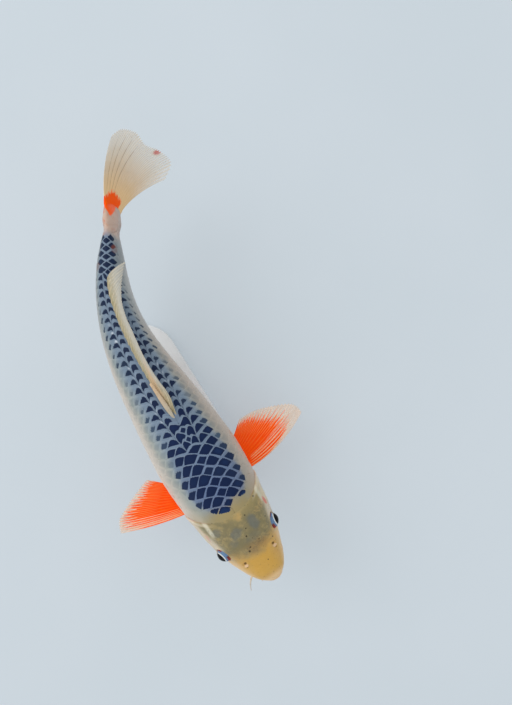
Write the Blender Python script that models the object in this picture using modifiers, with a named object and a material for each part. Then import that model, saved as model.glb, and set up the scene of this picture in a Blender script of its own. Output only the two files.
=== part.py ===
"""Life-size koi carp in a swimming pose on a plain display stand.

Frame: metres, +Z up, the fish swims towards -Y with its tail towards +Y, and its own left side is towards +X.
The origin is the middle of the model's footprint, on the underside of the stand's base.
The body is one loft round a bent spine. It is parted by thin cuts into head, gill covers, trunk and tail stem,
and the fins are bent fans of rays whose roots are trimmed to the body.
"""

import math

import bmesh
import bpy
import numpy as np
from mathutils import Vector

# ---------------------------------------------------------------- sizes
SL = 0.265  # standard length: snout tip to the end of the tail stem
GAP = 0.0003  # clearance between neighbouring solids
AXIS_Z = 0.079  # height of the body's axis above the floor
SNOUT_XY = (0.0518, -0.1448)  # snout tip, from the middle of the footprint

# Heading of the spine, in degrees from +Y towards -X, going tailwards.
HEAD_YAW, TRUNK_YAW, TAIL_YAW = 36.5, 32.2, -2.5
NECK_BEND = (0.0, 0.24)  # stretch of the body where the head's heading becomes the trunk's
TAIL_BEND = (0.545, 0.995)  # stretch where the trunk's heading becomes the tail's
BACK_LEAN = 8.0  # degrees that the fish rolls its back to its own left, as far as the tail
TAIL_TWIST = -6.0  # degrees that the tail fin's root leans the other way

# Body profile: station, then half width, height over the axis and depth under it, all as shares of SL.
STATION = (0.00, 0.06, 0.12, 0.18, 0.26, 0.35, 0.45, 0.56, 0.68, 0.79, 0.89, 0.955, 1.00, 1.04)
HALF_WIDTH = (0.0700, 0.0715, 0.0800, 0.0905, 0.0995, 0.1040, 0.0960, 0.0825, 0.0640, 0.0465, 0.0325, 0.0205, 0.0155, 0.0032)
BACK = (0.056, 0.067, 0.086, 0.105, 0.126, 0.144, 0.150, 0.141, 0.119, 0.092, 0.068, 0.0610, 0.0625, 0.0615)
BELLY = (0.050, 0.060, 0.074, 0.090, 0.108, 0.122, 0.127, 0.120, 0.100, 0.076, 0.0585, 0.0550, 0.0575, 0.0570)
SNOUT_ROUND = 0.148  # length over which the snout rounds off
SNOUT_BLUNT = 0.36  # power of its growth in height, under the 0.5 of its width
SNOUT_DROP = 0.024  # how far the snout's tip lies under the axis

EYE_AT, EYE_SIDE, EYE_UP, EYE_R = 0.136, 0.0168, 0.0084, 0.0050
EYE_SHELF = 0.09  # share by which the head narrows round the eyes, above the cheeks
MOUTH_HALF, MOUTH_UP, MOUTH_ARCH = 0.0060, -0.0090, 42.0

HEAD_ARC_AT, HEAD_ARC_R = 0.105, 0.155  # the head ends behind in an arc, the gill covers' edge
TAIL_CUT = 0.848


def smooth(a, b, x):
    t = np.clip((np.asarray(x, float) - a) / (b - a), 0.0, 1.0)
    return t * t * (3 - 2 * t)


def curve_through(xs, ys):
    """A smooth function through the stations, with no overshoot between them."""
    xs, ys = np.array(xs, float), np.array(ys, float)
    h, d = np.diff(xs), np.diff(ys) / np.diff(xs)
    m = np.zeros_like(ys)
    m[0], m[-1] = d[0], d[-1]
    for i in range(1, len(xs) - 1):
        if d[i - 1] * d[i] > 0:
            w1, w2 = 2 * h[i] + h[i - 1], h[i] + 2 * h[i - 1]
            m[i] = (w1 + w2) / (w1 / d[i - 1] + w2 / d[i])

    def f(x):
        x = np.clip(np.asarray(x, float), xs[0], xs[-1])
        i = np.clip(np.searchsorted(xs, x, side="right") - 1, 0, len(xs) - 2)
        t = (x - xs[i]) / h[i]
        return (
            (1 + 2 * t) * (1 - t) ** 2 * ys[i]
            + t * (1 - t) ** 2 * h[i] * m[i]
            + t * t * (3 - 2 * t) * ys[i + 1]
            + t * t * (t - 1) * h[i] * m[i + 1]
        )

    return f


half_width, back, belly = (curve_through(STATION, p) for p in (HALF_WIDTH, BACK, BELLY))


def heading(s):
    return np.radians(
        HEAD_YAW
        + (TRUNK_YAW - HEAD_YAW) * smooth(*NECK_BEND, s)
        + (TAIL_YAW - TRUNK_YAW) * smooth(*TAIL_BEND, s)
    )


SPINE_S = np.linspace(-0.05, 1.30, 1351)
_phi = heading(SPINE_S)
_step = np.stack([-np.sin(_phi), np.cos(_phi)], 1) * SL * (SPINE_S[1] - SPINE_S[0])
SPINE_XY = np.concatenate([[[0, 0]], np.cumsum((_step[1:] + _step[:-1]) / 2, axis=0)])
SPINE_XY += np.array(SNOUT_XY) - SPINE_XY[50]


def lean(s):
    """Roll of the section, in radians, positive with the back towards the fish's left."""
    return np.radians(
        BACK_LEAN * (1 - smooth(0.64, 0.90, s))
        + TAIL_TWIST * smooth(0.93, 1.04, s)
    )


def frame_at(s):
    """Centre, tailward, left and up directions of the section at station s."""
    s = np.asarray(s, float)
    phi, r = heading(s), lean(s)
    zero = np.zeros_like(phi)
    centre = np.stack(
        [
            np.interp(s, SPINE_S, SPINE_XY[:, 0]),
            np.interp(s, SPINE_S, SPINE_XY[:, 1]),
            AXIS_Z + zero,
        ],
        -1,
    )
    tail = np.stack([-np.sin(phi), np.cos(phi), zero], -1)
    left0 = np.stack([np.cos(phi), np.sin(phi), zero], -1)
    up0 = np.stack([zero, zero, zero + 1], -1)
    c, k = np.cos(r)[..., None], np.sin(r)[..., None]
    return centre, tail, left0 * c - up0 * k, up0 * c + left0 * k


def place(s, x, z):
    """The point x to the fish's left and z above the axis, at station s."""
    centre, _, left, up = frame_at(s)
    return centre + left * np.asarray(x)[..., None] + up * np.asarray(z)[..., None]


def snout_share(s, power=0.5):
    """How far the section has grown from the snout's tip, 0 to 1."""
    return np.clip(1 - (1 - np.clip(s / SNOUT_ROUND, 0, 1)) ** 2, 0, 1) ** power


def roundness(s):
    """Exponent of the section's superellipse: fuller on the head than on the tail."""
    return 2.35 - 0.2 * smooth(0.15, 0.4, s)


def section(s, theta):
    """(x, z) of the section at station s; theta runs from the back over the fish's left."""
    s, theta = np.broadcast_arrays(np.asarray(s, float), np.asarray(theta, float))
    f, e = snout_share(s), 2.0 / roundness(s)
    si, co = np.sin(theta), np.cos(theta)
    x = SL * half_width(s) * f * np.sign(si) * np.abs(si) ** e
    from_top = np.abs((theta + math.pi) % (2 * math.pi) - math.pi)
    x = x * (1 - EYE_SHELF * np.exp(-(((s - EYE_AT) / 0.05) ** 2) - ((from_top - 1.0) / 0.36) ** 2))
    h = np.where(co >= 0, back(s), belly(s)) * SL * snout_share(s, SNOUT_BLUNT)
    z = h * np.sign(co) * np.abs(co) ** e - SNOUT_DROP * SL * (1 - smooth(0.0, 0.16, s))
    return x, z


CAP_S = 0.06  # forward of this the rings close on the mouth's slit


def cap_depth(x, z):
    """Station of the snout's surface at (x, z), for points inside the section at CAP_S."""
    low, high = np.full(np.shape(x), 1e-6), np.full(np.shape(x), CAP_S + 0.002)
    for _ in range(30):
        s = (low + high) / 2
        n = roundness(s)
        zz = z + SNOUT_DROP * SL * (1 - smooth(0.0, 0.16, s))
        h = np.where(zz >= 0, back(s), belly(s)) * SL * snout_share(s, SNOUT_BLUNT)
        outside = (np.abs(x) / (half_width(s) * SL * snout_share(s))) ** n + (np.abs(zz) / h) ** n > 1
        low, high = np.where(outside, s, low), np.where(outside, high, s)
    return s


def lip_push(q):
    """Forward push of the skin round the mouth, by share of the way out from the slit."""
    recess = -0.0016 * (1 - smooth(0.0, 0.07, q))
    crest = 0.0011 * smooth(0.0, 0.09, q) * (1 - smooth(0.13, 0.26, q))
    groove = -0.00035 * smooth(0.16, 0.25, q) * (1 - smooth(0.27, 0.40, q))
    return recess + crest + groove


def snout_ring(q, theta):
    """A ring of the snout, q from 0 at the mouth's slit to 1 at the section at CAP_S."""
    x1, z1 = section(CAP_S, theta)
    xm = MOUTH_HALF * np.sin(theta)
    zm = MOUTH_UP + 0.00028 * np.cos(theta) - MOUTH_ARCH * xm * xm
    x, z = xm + (x1 - xm) * q, zm + (z1 - zm) * q
    s = cap_depth(x, z)
    lower = 0.0016 * smooth(0.0, 0.003, MOUTH_UP - z) * (1 - smooth(0.15, 0.5, q))
    return place(s + (lower - lip_push(q)) / SL, x, z)


def loft(name, rings, inflate=0.0):
    """One closed mesh through rings of points that start at the back and run over the left side."""
    bm = bmesh.new()
    made = [[bm.verts.new(p) for p in ring] for ring in rings]
    segments = len(made[0])
    for a, b in zip(made, made[1:]):
        for i in range(segments):
            j = (i + 1) % segments
            bm.faces.new((a[i], a[j], b[j], b[i]))
    for ring, flip in ((made[0], True), (made[-1], False)):
        # Each end is closed by strips across it, from the left side to the right.
        for i in range(segments // 2):
            quad = [ring[i], ring[i + 1], ring[(segments - i - 1) % segments], ring[(segments - i) % segments]]
            quad = [v for k, v in enumerate(quad) if v not in quad[:k]]
            if len(quad) > 2:
                bm.faces.new(quad if flip else quad[::-1])
    bmesh.ops.recalc_face_normals(bm, faces=bm.faces)
    bm.normal_update()
    if inflate:
        moved = [(v, v.co + v.normal * inflate) for v in bm.verts]
        for v, co in moved:
            v.co = co
    mesh = bpy.data.meshes.new(name)
    bm.to_mesh(mesh)
    bm.free()
    return mesh


def ring_angles(segments):
    return np.linspace(0, 2 * math.pi, segments, endpoint=False)


def body_mesh(name, rings_on, rings_off, segments, inflate=0.0):
    """The whole body. inflate moves its surface out along the normals."""
    theta = ring_angles(segments)
    rings = [snout_ring(q, theta) for q in rings_on]
    for s in rings_off:
        x, z = section(s, theta)
        rings.append(place(np.full(segments, s), x, z))
    return loft(name, rings, inflate)


def core_mesh(name, depth, start, end, segments):
    """The body's inside at a depth under the skin, from start to end."""
    theta = ring_angles(segments)
    rings = []
    for s in np.linspace(start, end, 12):
        x, z = section(s, theta)
        shrink = 1 - depth / (SL * float(half_width(s)) * float(snout_share(s)))
        rings.append(place(np.full(segments, s), x * shrink, z * shrink))
    return loft(name, rings)


# ---------------------------------------------------------------- scene helpers
for old in list(bpy.data.objects):
    bpy.data.objects.remove(old)
KOI = bpy.data.collections.new("koi_carp")
CUTTERS = bpy.data.collections.new("cutters")
for made_collection in (KOI, CUTTERS):
    bpy.context.scene.collection.children.link(made_collection)
CUTTERS.hide_render = True


def material(name, colour, roughness, metallic=0.0):
    m = bpy.data.materials.new(name)
    m.use_nodes = True
    p = m.node_tree.nodes["Principled BSDF"]
    p.inputs["Base Color"].default_value = (*colour, 1)
    p.inputs["Roughness"].default_value = roughness
    p.inputs["Metallic"].default_value = metallic
    return m


OCHRE = material("head_skin", (0.56, 0.42, 0.18), 0.3)
BLUE = material("back_scales", (0.07, 0.12, 0.22), 0.3)
PALE = material("tail_skin", (0.30, 0.34, 0.38), 0.3)
CREAM = material("cream_fin", (0.72, 0.55, 0.33), 0.4)
ORANGE = material("orange_fin", (0.90, 0.16, 0.02), 0.4)
EYE = material("eye_dark", (0.02, 0.02, 0.03), 0.08)
WHITE = material("stand_white", (0.78, 0.80, 0.82), 0.35)
STEEL = material("stand_steel", (0.60, 0.61, 0.63), 0.25, 1.0)


def add(name, mesh, mat=None, collection=KOI):
    obj = bpy.data.objects.new(name, mesh)
    collection.objects.link(obj)
    if mat:
        mesh.materials.clear()
        mesh.materials.append(mat)
    if collection is CUTTERS:
        obj.hide_render = True
        obj.display_type = "WIRE"
    return obj


def boolean(obj, cutter, operation="DIFFERENCE"):
    """Cuts obj by cutter and keeps the result as obj's own mesh."""
    mod = obj.modifiers.new("cut", "BOOLEAN")
    mod.object, mod.operation, mod.solver = cutter, operation, "EXACT"
    graph = bpy.context.evaluated_depsgraph_get()
    mesh = bpy.data.meshes.new_from_object(obj.evaluated_get(graph), depsgraph=graph)
    obj.modifiers.remove(mod)
    old, obj.data = obj.data, mesh
    bpy.data.meshes.remove(old)
    return obj


def prism(name, outline, across, low, high):
    """A cutter: an outline of (station, z) points drawn in the plane of the body's length and height, run sideways from low to high."""
    bm = bmesh.new()
    face = bm.faces.new([bm.verts.new(side_point(s, low, z, across)) for s, z in outline])
    moved = bmesh.ops.extrude_face_region(bm, geom=[face])
    shift = Vector(side_point(0, high, 0, across) - side_point(0, low, 0, across))
    for v in [g for g in moved["geom"] if isinstance(g, bmesh.types.BMVert)]:
        v.co += shift
    bmesh.ops.recalc_face_normals(bm, faces=bm.faces)
    mesh = bpy.data.meshes.new(name)
    bm.to_mesh(mesh)
    bm.free()
    return add(name, mesh, None, CUTTERS)


def side_point(s, x, z, at):
    """A point in the straight frame taken at one station, for cutters."""
    centre, tail, left, up = (np.array(v) for v in frame_at(at))
    return centre + tail * (s - at) * SL + left * x + up * z


def head_outline(grow):
    r = HEAD_ARC_R * SL + grow
    arc = [
        (HEAD_ARC_AT + r / SL * math.cos(a), r * math.sin(a))
        for a in np.radians(np.linspace(-90, 90, 29))
    ]
    return [(-0.15, -r), *arc, (-0.15, r)]


# ---------------------------------------------------------------- body
SEGMENTS = 32
SNOUT_RINGS = (0.0, 0.05, 0.10, 0.17, 0.26, 0.38, 0.55, 0.76)
BODY_RINGS = [
    *np.linspace(0.06, 0.26, 11),
    *np.linspace(0.29, 0.93, 18),
    0.965, 1.0, 1.018, 1.032, 1.04,
]


def whole(name, inflate=0.0, collection=CUTTERS, mat=None):
    return add(name, body_mesh(name, SNOUT_RINGS, BODY_RINGS, SEGMENTS, inflate), mat, collection)


bpy.context.view_layer.update()
around_body = whole("around_body", GAP)  # trims whatever grows out of the body

head = whole("head", 0, KOI, OCHRE)
trunk = whole("trunk", 0, KOI, BLUE)
tail_stem = whole("tail_stem", 0, KOI, PALE)
head_zone = prism("head_zone", head_outline(-GAP / 2), 0.2, -0.06, 0.06)
trunk_zone = prism("trunk_zone", head_outline(GAP / 2), 0.2, -0.06, 0.06)
boolean(head, head_zone, "INTERSECT")
boolean(trunk, trunk_zone)


def cut_off(obj, s, keep_front):
    """Keeps the part of obj in front of station s, or behind it, and closes the cut."""
    centre, tail, _, _ = (np.array(v) for v in frame_at(s))
    at = centre + tail * (-GAP / 2 if keep_front else GAP / 2)
    bm = bmesh.new()
    bm.from_mesh(obj.data)
    cut = bmesh.ops.bisect_plane(
        bm, geom=bm.verts[:] + bm.edges[:] + bm.faces[:], plane_co=at, plane_no=tail,
        clear_outer=keep_front, clear_inner=not keep_front,
    )
    edges = [g for g in cut["geom_cut"] if isinstance(g, bmesh.types.BMEdge)]
    bmesh.ops.edgeloop_fill(bm, edges=edges)
    bmesh.ops.recalc_face_normals(bm, faces=bm.faces)
    bm.to_mesh(obj.data)
    bm.free()


cut_off(trunk, TAIL_CUT, True)
cut_off(tail_stem, TAIL_CUT, False)

# ---------------------------------------------------------------- eyes, in round sockets
for side, label in ((1, "left"), (-1, "right")):
    at = place(EYE_AT, side * EYE_SIDE, EYE_UP)
    socket_mesh = bpy.data.meshes.new("socket_" + label)
    bm = bmesh.new()
    bmesh.ops.create_uvsphere(bm, u_segments=18, v_segments=9, radius=EYE_R + GAP)
    bmesh.ops.translate(bm, vec=at, verts=bm.verts)
    bm.to_mesh(socket_mesh)
    bm.free()
    boolean(head, add("socket_" + label, socket_mesh, None, CUTTERS))
    eye_mesh = bpy.data.meshes.new("eye_" + label)
    bm = bmesh.new()
    bmesh.ops.create_uvsphere(bm, u_segments=18, v_segments=9, radius=EYE_R)
    bm.to_mesh(eye_mesh)
    bm.free()
    eye = add("eye_" + label, eye_mesh, EYE)
    eye.location = at

# ---------------------------------------------------------------- gill covers
COVER_DEPTH = 0.0028


def cover_outline(grow):
    """The gill cover from the side: rounded behind, following the head's edge, straight in front."""
    r = (HEAD_ARC_R - 0.010) * SL + grow
    arc = [
        (HEAD_ARC_AT + r / SL * math.cos(a), r * math.sin(a))
        for a in np.radians(np.linspace(-33, 22, 12))
    ]
    g = grow / SL
    top, bottom = arc[-1], arc[0]
    return [*arc, (0.200, top[1] + 0.0015), (0.166 - g, top[1] - 0.004), (0.158 - g, -0.004), (0.172 - g, bottom[1] + 0.001)]


under_skin = add("under_skin", core_mesh("under_skin", COVER_DEPTH, 0.12, 0.30, SEGMENTS), None, CUTTERS)
under_well = add("under_well", core_mesh("under_well", COVER_DEPTH + GAP, 0.12, 0.30, SEGMENTS), None, CUTTERS)
for side, label in ((1, "left"), (-1, "right")):
    cover = whole("gill_cover_" + label, 0, KOI, OCHRE)
    inner, outer = side * 0.008, side * 0.050
    boolean(cover, prism("cover_zone_" + label, cover_outline(0), 0.21, inner, outer), "INTERSECT")
    boolean(cover, under_skin)
    well = prism("cover_well_" + label, cover_outline(GAP), 0.21, inner - side * GAP, outer)
    boolean(well, under_well)
    boolean(head, well)

# ---------------------------------------------------------------- fins


def unit(v):
    v = np.asarray(v, float)
    return v / np.linalg.norm(v, axis=-1, keepdims=True)


def fin_grid(base, start, end, length, rays, steps):
    """Points of a fin: rays that leave base(u) along start(u) and turn evenly to end(u) over length(u)."""
    grid = np.zeros((rays, steps, 3))
    v = np.linspace(0, 1, steps)
    for i, u in enumerate(np.linspace(0, 1, rays)):
        d0, d1 = unit(start(u)), unit(end(u))
        d = unit(d0[None] * (1 - v[:, None]) + d1[None] * v[:, None])
        walk = np.concatenate([[np.zeros(3)], np.cumsum((d[1:] + d[:-1]) / 2, axis=0)])
        grid[i] = base(u) + walk * length(u) / (steps - 1)
    return grid


def fin(name, grid, root_thick, tip_thick, mat, trim=True):
    """A fin as one thin solid: a sheet of ray points thickened evenly on both sides and trimmed to the body."""
    rays, steps = grid.shape[:2]
    bm = bmesh.new()
    bmesh.ops.create_grid(bm, x_segments=rays - 1, y_segments=steps - 1, size=1)
    layer = bm.verts.layers.deform.verify()
    order = sorted(bm.verts, key=lambda v: (round(v.co.x, 4), round(v.co.y, 4)))
    for n, v in enumerate(order):
        i, j = divmod(n, steps)
        v.co = grid[i, j]
        share = j / (steps - 1)
        v[layer][0] = 1 + (tip_thick / root_thick - 1) * share
    mesh = bpy.data.meshes.new(name)
    bm.to_mesh(mesh)
    bm.free()
    obj = add(name, mesh, mat)
    obj.vertex_groups.new(name="thickness")
    mod = obj.modifiers.new("thickness", "SOLIDIFY")
    mod.thickness, mod.offset, mod.vertex_group = root_thick, 0, "thickness"
    mod.thickness_vertex_group = 0.0
    graph = bpy.context.evaluated_depsgraph_get()
    mesh = bpy.data.meshes.new_from_object(obj.evaluated_get(graph), depsgraph=graph)
    obj.modifiers.remove(mod)
    obj.data = mesh
    bm = bmesh.new()
    bm.from_mesh(mesh)
    bmesh.ops.recalc_face_normals(bm, faces=bm.faces)
    bmesh.ops.triangulate(bm, faces=bm.faces)
    bm.to_mesh(mesh)
    bm.free()
    return boolean(obj, around_body) if trim else obj


def mix(keys, u):
    """Value at u on the smooth curve through keys, a list of (u, value)."""
    return curve_through([k[0] for k in keys], [k[1] for k in keys])(u)


def direction(s, tailward, leftward, upward):
    _, tail, left, up = frame_at(s)
    return tail * tailward + left * leftward + up * upward


# Dorsal fin: folded low along the back, its blade fallen to the fish's left. Each ray follows the bend of the body.
DORSAL = (0.475, 0.838)
DORSAL_REACH = ((0, 0.030), (0.12, 0.031), (0.5, 0.022), (0.85, 0.015), (1, 0.0125))  # how far back each ray lies
DORSAL_SIDE = ((0, 0.0078), (0.12, 0.0082), (0.3, 0.0045), (0.42, 0.0036), (0.6, 0.0078), (0.8, 0.0102), (1, 0.0118))  # how far its tip falls to the left
DORSAL_RISE = ((0, 0.0068), (0.12, 0.0080), (0.45, 0.0078), (0.75, 0.0068), (1, 0.0052))  # how high its tip stands over the back


def dorsal_ray(u, steps):
    v = np.linspace(0, 1, steps)
    s = DORSAL[0] + (DORSAL[1] - DORSAL[0]) * u + v * float(mix(DORSAL_REACH, u)) / SL
    root = section(s, 0.0)[1] - 0.0008 * (1 - v)
    return place(s, float(mix(DORSAL_SIDE, u)) * v ** (0.8 + 0.45 * u), root + float(mix(DORSAL_RISE, u)) * v**0.85)


fin("dorsal_fin", np.stack([dorsal_ray(u, 6) for u in np.linspace(0, 1, 19)]), 0.0011, 0.0006, CREAM)

# Anal fin: upright under the tail stem, swept back.
ANAL = (0.752, 0.830)
ANAL_RAY = ((0, 0.030), (0.15, 0.035), (0.6, 0.024), (1, 0.017))


def anal_base(u):
    s = ANAL[0] + (ANAL[1] - ANAL[0]) * u
    _, z = section(s, math.pi)
    return place(s, 0.0, z + 0.0015)


fin(
    "anal_fin",
    fin_grid(
        anal_base,
        lambda u: direction(0.79, 0.62 + 0.25 * u, 0.0, -0.80 + 0.25 * u),
        lambda u: direction(0.79, 0.88, 0.10, -0.42 + 0.12 * u),
        lambda u: float(mix(ANAL_RAY, u)), 9, 6,
    ),
    0.0014, 0.0006, ORANGE,
)

# Tail fin: two lobes round a shallow fork, swept to the fish's left, the lower lobe more than the upper.
CAUDAL_AT = 1.035
CAUDAL_RAY = ((0, 0.0425), (0.12, 0.0468), (0.32, 0.0480), (0.5, 0.0450), (0.68, 0.0490), (0.88, 0.0530), (1, 0.0430))
CAUDAL_RISE = ((0, 33.0), (0.5, 1.0), (1, -33.0))
CAUDAL_RISE_END = ((0, 14.0), (0.5, 0.0), (1, -14.0))
CAUDAL_SWEEP = ((0, -2.0), (0.5, 6.0), (1, 18.0))
CAUDAL_SWEEP_END = ((0, 22.0), (0.5, 46.0), (1, 64.0))


def caudal_base(u):
    top, bottom = section(CAUDAL_AT, 0.0)[1], section(CAUDAL_AT, math.pi)[1]
    z = (top - 0.0006) * (1 - u) + (bottom + 0.0006) * u
    return place(CAUDAL_AT + 0.010 * (1 - (2 * u - 1) ** 2) - 0.004, 0.0, z)


def caudal_way(u, rise, sweep):
    e, y = np.radians(mix(rise, u)), np.radians(mix(sweep, u))
    return direction(1.0, math.cos(e) * math.cos(y), math.cos(e) * math.sin(y), math.sin(e))


fin(
    "caudal_fin",
    fin_grid(
        caudal_base, lambda u: caudal_way(u, CAUDAL_RISE, CAUDAL_SWEEP),
        lambda u: caudal_way(u, CAUDAL_RISE_END, CAUDAL_SWEEP_END), lambda u: float(mix(CAUDAL_RAY, u)), 21, 8,
    ),
    0.0016, 0.0006, CREAM,
)

# Pectoral fins: spread wide from low behind the gill covers. Sweep is a ray's angle behind straight out.
PECTORAL_ROUND = 141.0  # angle round the section to the root, from the back
PECTORAL = {
    "left": {
        "side": 1, "root": (0.262, 0.316), "droop": -7.0,
        "ray": ((0, 0.0665), (0.25, 0.0635), (0.5, 0.0500), (0.75, 0.0385), (1, 0.0275)),
        "sweep": ((0, 9.5), (0.25, 13.5), (0.5, 23.0), (0.75, 31.0), (1, 37.0)),
        "bow": ((0, 22.0), (0.25, 9.0), (1, 3.0)),
    },
    "right": {
        "side": -1, "root": (0.242, 0.302), "droop": -7.0,
        "ray": ((0, 0.0585), (0.25, 0.0560), (0.5, 0.0465), (0.75, 0.0370), (1, 0.0290)),
        "sweep": ((0, 14.0), (0.25, 18.0), (0.5, 25.5), (0.75, 34.0), (1, 43.0)),
        "bow": ((0, 10.0), (0.25, 6.0), (1, 3.0)),
    },
}

for label, p in PECTORAL.items():
    side = p["side"]

    def pectoral_base(u, side=side, p=p):
        s = p["root"][0] + (p["root"][1] - p["root"][0]) * u
        x, z = section(s, math.radians(PECTORAL_ROUND))
        return place(s, side * (x - 0.0015), z + 0.0010)

    def pectoral_way(u, turn, droop, side=side, p=p):
        a, d = np.radians(mix(p["sweep"], u) + turn * mix(p["bow"], u)), np.radians(droop)
        return direction(0.27, math.sin(a) * math.cos(d), side * math.cos(a) * math.cos(d), math.sin(d))

    fin(
        "pectoral_fin_" + label,
        fin_grid(
            pectoral_base,
            lambda u, w=pectoral_way, d=p["droop"]: w(u, -1, d - 10 + 8 * u),
            lambda u, w=pectoral_way, d=p["droop"]: w(u, 1, d + 12 - 6 * u),
            lambda u, p=p: float(mix(p["ray"], u)), 15, 7,
        ),
        0.0016, 0.0006, ORANGE,
    )

# Pelvic fins: half folded under the belly, a little splayed.
PELVIC_AT, PELVIC_END = (0.492, 158.0), (0.512, 168.0)
PELVIC_RAY = ((0, 0.0350), (0.15, 0.0395), (0.6, 0.0310), (1, 0.0220))
for side, label in ((1, "left"), (-1, "right")):

    def pelvic_base(u, side=side):
        s = PELVIC_AT[0] + (PELVIC_END[0] - PELVIC_AT[0]) * u
        a = math.radians(PELVIC_AT[1] + (PELVIC_END[1] - PELVIC_AT[1]) * u)
        x, z = section(s, a)
        return place(s, side * x, z + 0.0015)

    fin(
        "pelvic_fin_" + label,
        fin_grid(
            pelvic_base,
            lambda u, side=side: direction(0.5, 0.80 + 0.1 * u, side * (0.34 - 0.30 * u), -0.50 + 0.02 * u),
            lambda u, side=side: direction(0.5, 0.93, side * (0.24 - 0.14 * u), -0.22 - 0.02 * u),
            lambda u: float(mix(PELVIC_RAY, u)), 9, 6,
        ),
        0.0015, 0.0006, ORANGE,
    )

# ---------------------------------------------------------------- tapered rods: the dorsal spine and the barbels


def tapered(name, points, radii, mat, sides=1):
    """A round tapered piece along a smooth line, trimmed to the body."""
    curve = bpy.data.curves.new(name, "CURVE")
    curve.dimensions, curve.bevel_depth, curve.bevel_resolution, curve.use_fill_caps = "3D", 1.0, sides, True
    line = curve.splines.new("POLY")
    line.points.add(len(points) - 1)
    for k, (p, r) in enumerate(zip(points, radii)):
        line.points[k].co, line.points[k].radius = (*p, 1), r
    obj = bpy.data.objects.new(name, curve)
    KOI.objects.link(obj)
    graph = bpy.context.evaluated_depsgraph_get()
    mesh = bpy.data.meshes.new_from_object(obj.evaluated_get(graph), depsgraph=graph)
    bpy.data.objects.remove(obj)
    bm = bmesh.new()
    bm.from_mesh(mesh)
    bmesh.ops.remove_doubles(bm, verts=bm.verts, dist=1e-6)
    bmesh.ops.recalc_face_normals(bm, faces=bm.faces)
    bm.to_mesh(mesh)
    bm.free()
    return boolean(add(name, mesh, mat), around_body)


def bowed(start, d0, d1, length, count):
    """count points from start along a line that turns from d0 to d1."""
    grid = fin_grid(lambda u: np.array(start), lambda u: d0, lambda u: d1, lambda u: length, 1, count)
    return grid[0]


spine_v = np.linspace(0, 1, 8)
spine_s = DORSAL[0] - 0.007 + spine_v * 0.027 / SL
spine = place(spine_s, -0.0004 - 0.0006 * spine_v, section(spine_s, 0.0)[1] - 0.0012 + 0.0062 * spine_v**0.8)
tapered("dorsal_spine", spine, np.linspace(0.0011, 0.0005, 8), CREAM)

BARBELS = {
    # side, station, angle round the snout's section, length, start and end directions (tailward, outward, up), root radius
    "rear_left": (1, 0.040, 118.0, 0.0160, (-0.25, 0.55, -0.75), (-0.45, 0.05, -0.88), 0.00085),
    "rear_right": (-1, 0.040, 118.0, 0.0165, (-0.35, 0.75, -0.45), (-0.86, 0.30, -0.42), 0.00085),
    "front_left": (1, 0.020, 108.0, 0.0070, (-0.45, 0.35, -0.75), (-0.30, 0.10, -0.95), 0.00060),
    "front_right": (-1, 0.020, 104.0, 0.0070, (-0.55, 0.60, -0.20), (-0.45, 0.25, -0.85), 0.00060),
}
for label, (side, at_s, angle, length, d0, d1, radius) in BARBELS.items():
    x, z = section(at_s, math.radians(angle))
    root = place(at_s, side * (x - 0.0008), z)
    way = [direction(at_s, d[0], side * d[1], d[2]) for d in (d0, d1)]
    tapered("barbel_" + label, bowed(root, way[0], way[1], length, 9), np.linspace(radius, 0.00032, 9), CREAM)

# ---------------------------------------------------------------- stand
BASE_LENGTH, BASE_WIDTH, BASE_THICK = 0.150, 0.052, 0.008
BASE_AT, BASE_SIDE = 0.475, -0.006  # station over the base's middle, and its offset to the fish's left
ROD_R, FOOT_R, CUP_R = 0.0025, 0.0060, 0.0048

centre, tail, left, _ = (np.array(v) for v in frame_at(BASE_AT))
left = np.array([left[0], left[1], 0]) / math.hypot(left[0], left[1])
centre = centre + left * BASE_SIDE
bm = bmesh.new()
reach = (BASE_LENGTH - BASE_WIDTH) / 2
outline = []
for end in (1, -1):
    for a in np.radians(np.linspace(-90, 90, 13)):
        along, across = end * (reach + BASE_WIDTH / 2 * math.cos(a)), end * BASE_WIDTH / 2 * math.sin(a)
        outline.append(np.array([centre[0], centre[1], 0]) + tail * along - left * across)
face = bm.faces.new([bm.verts.new(p) for p in outline])
up_face = bmesh.ops.extrude_face_region(bm, geom=[face])
for v in [g for g in up_face["geom"] if isinstance(g, bmesh.types.BMVert)]:
    v.co.z += BASE_THICK
bmesh.ops.recalc_face_normals(bm, faces=bm.faces)
mesh = bpy.data.meshes.new("stand_base")
bm.to_mesh(mesh)
bm.free()
stand_base = add("stand_base", mesh, WHITE)
bevel = stand_base.modifiers.new("edge", "BEVEL")
bevel.width, bevel.segments, bevel.limit_method, bevel.angle_limit = 0.0012, 2, "ANGLE", math.radians(50)

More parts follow.
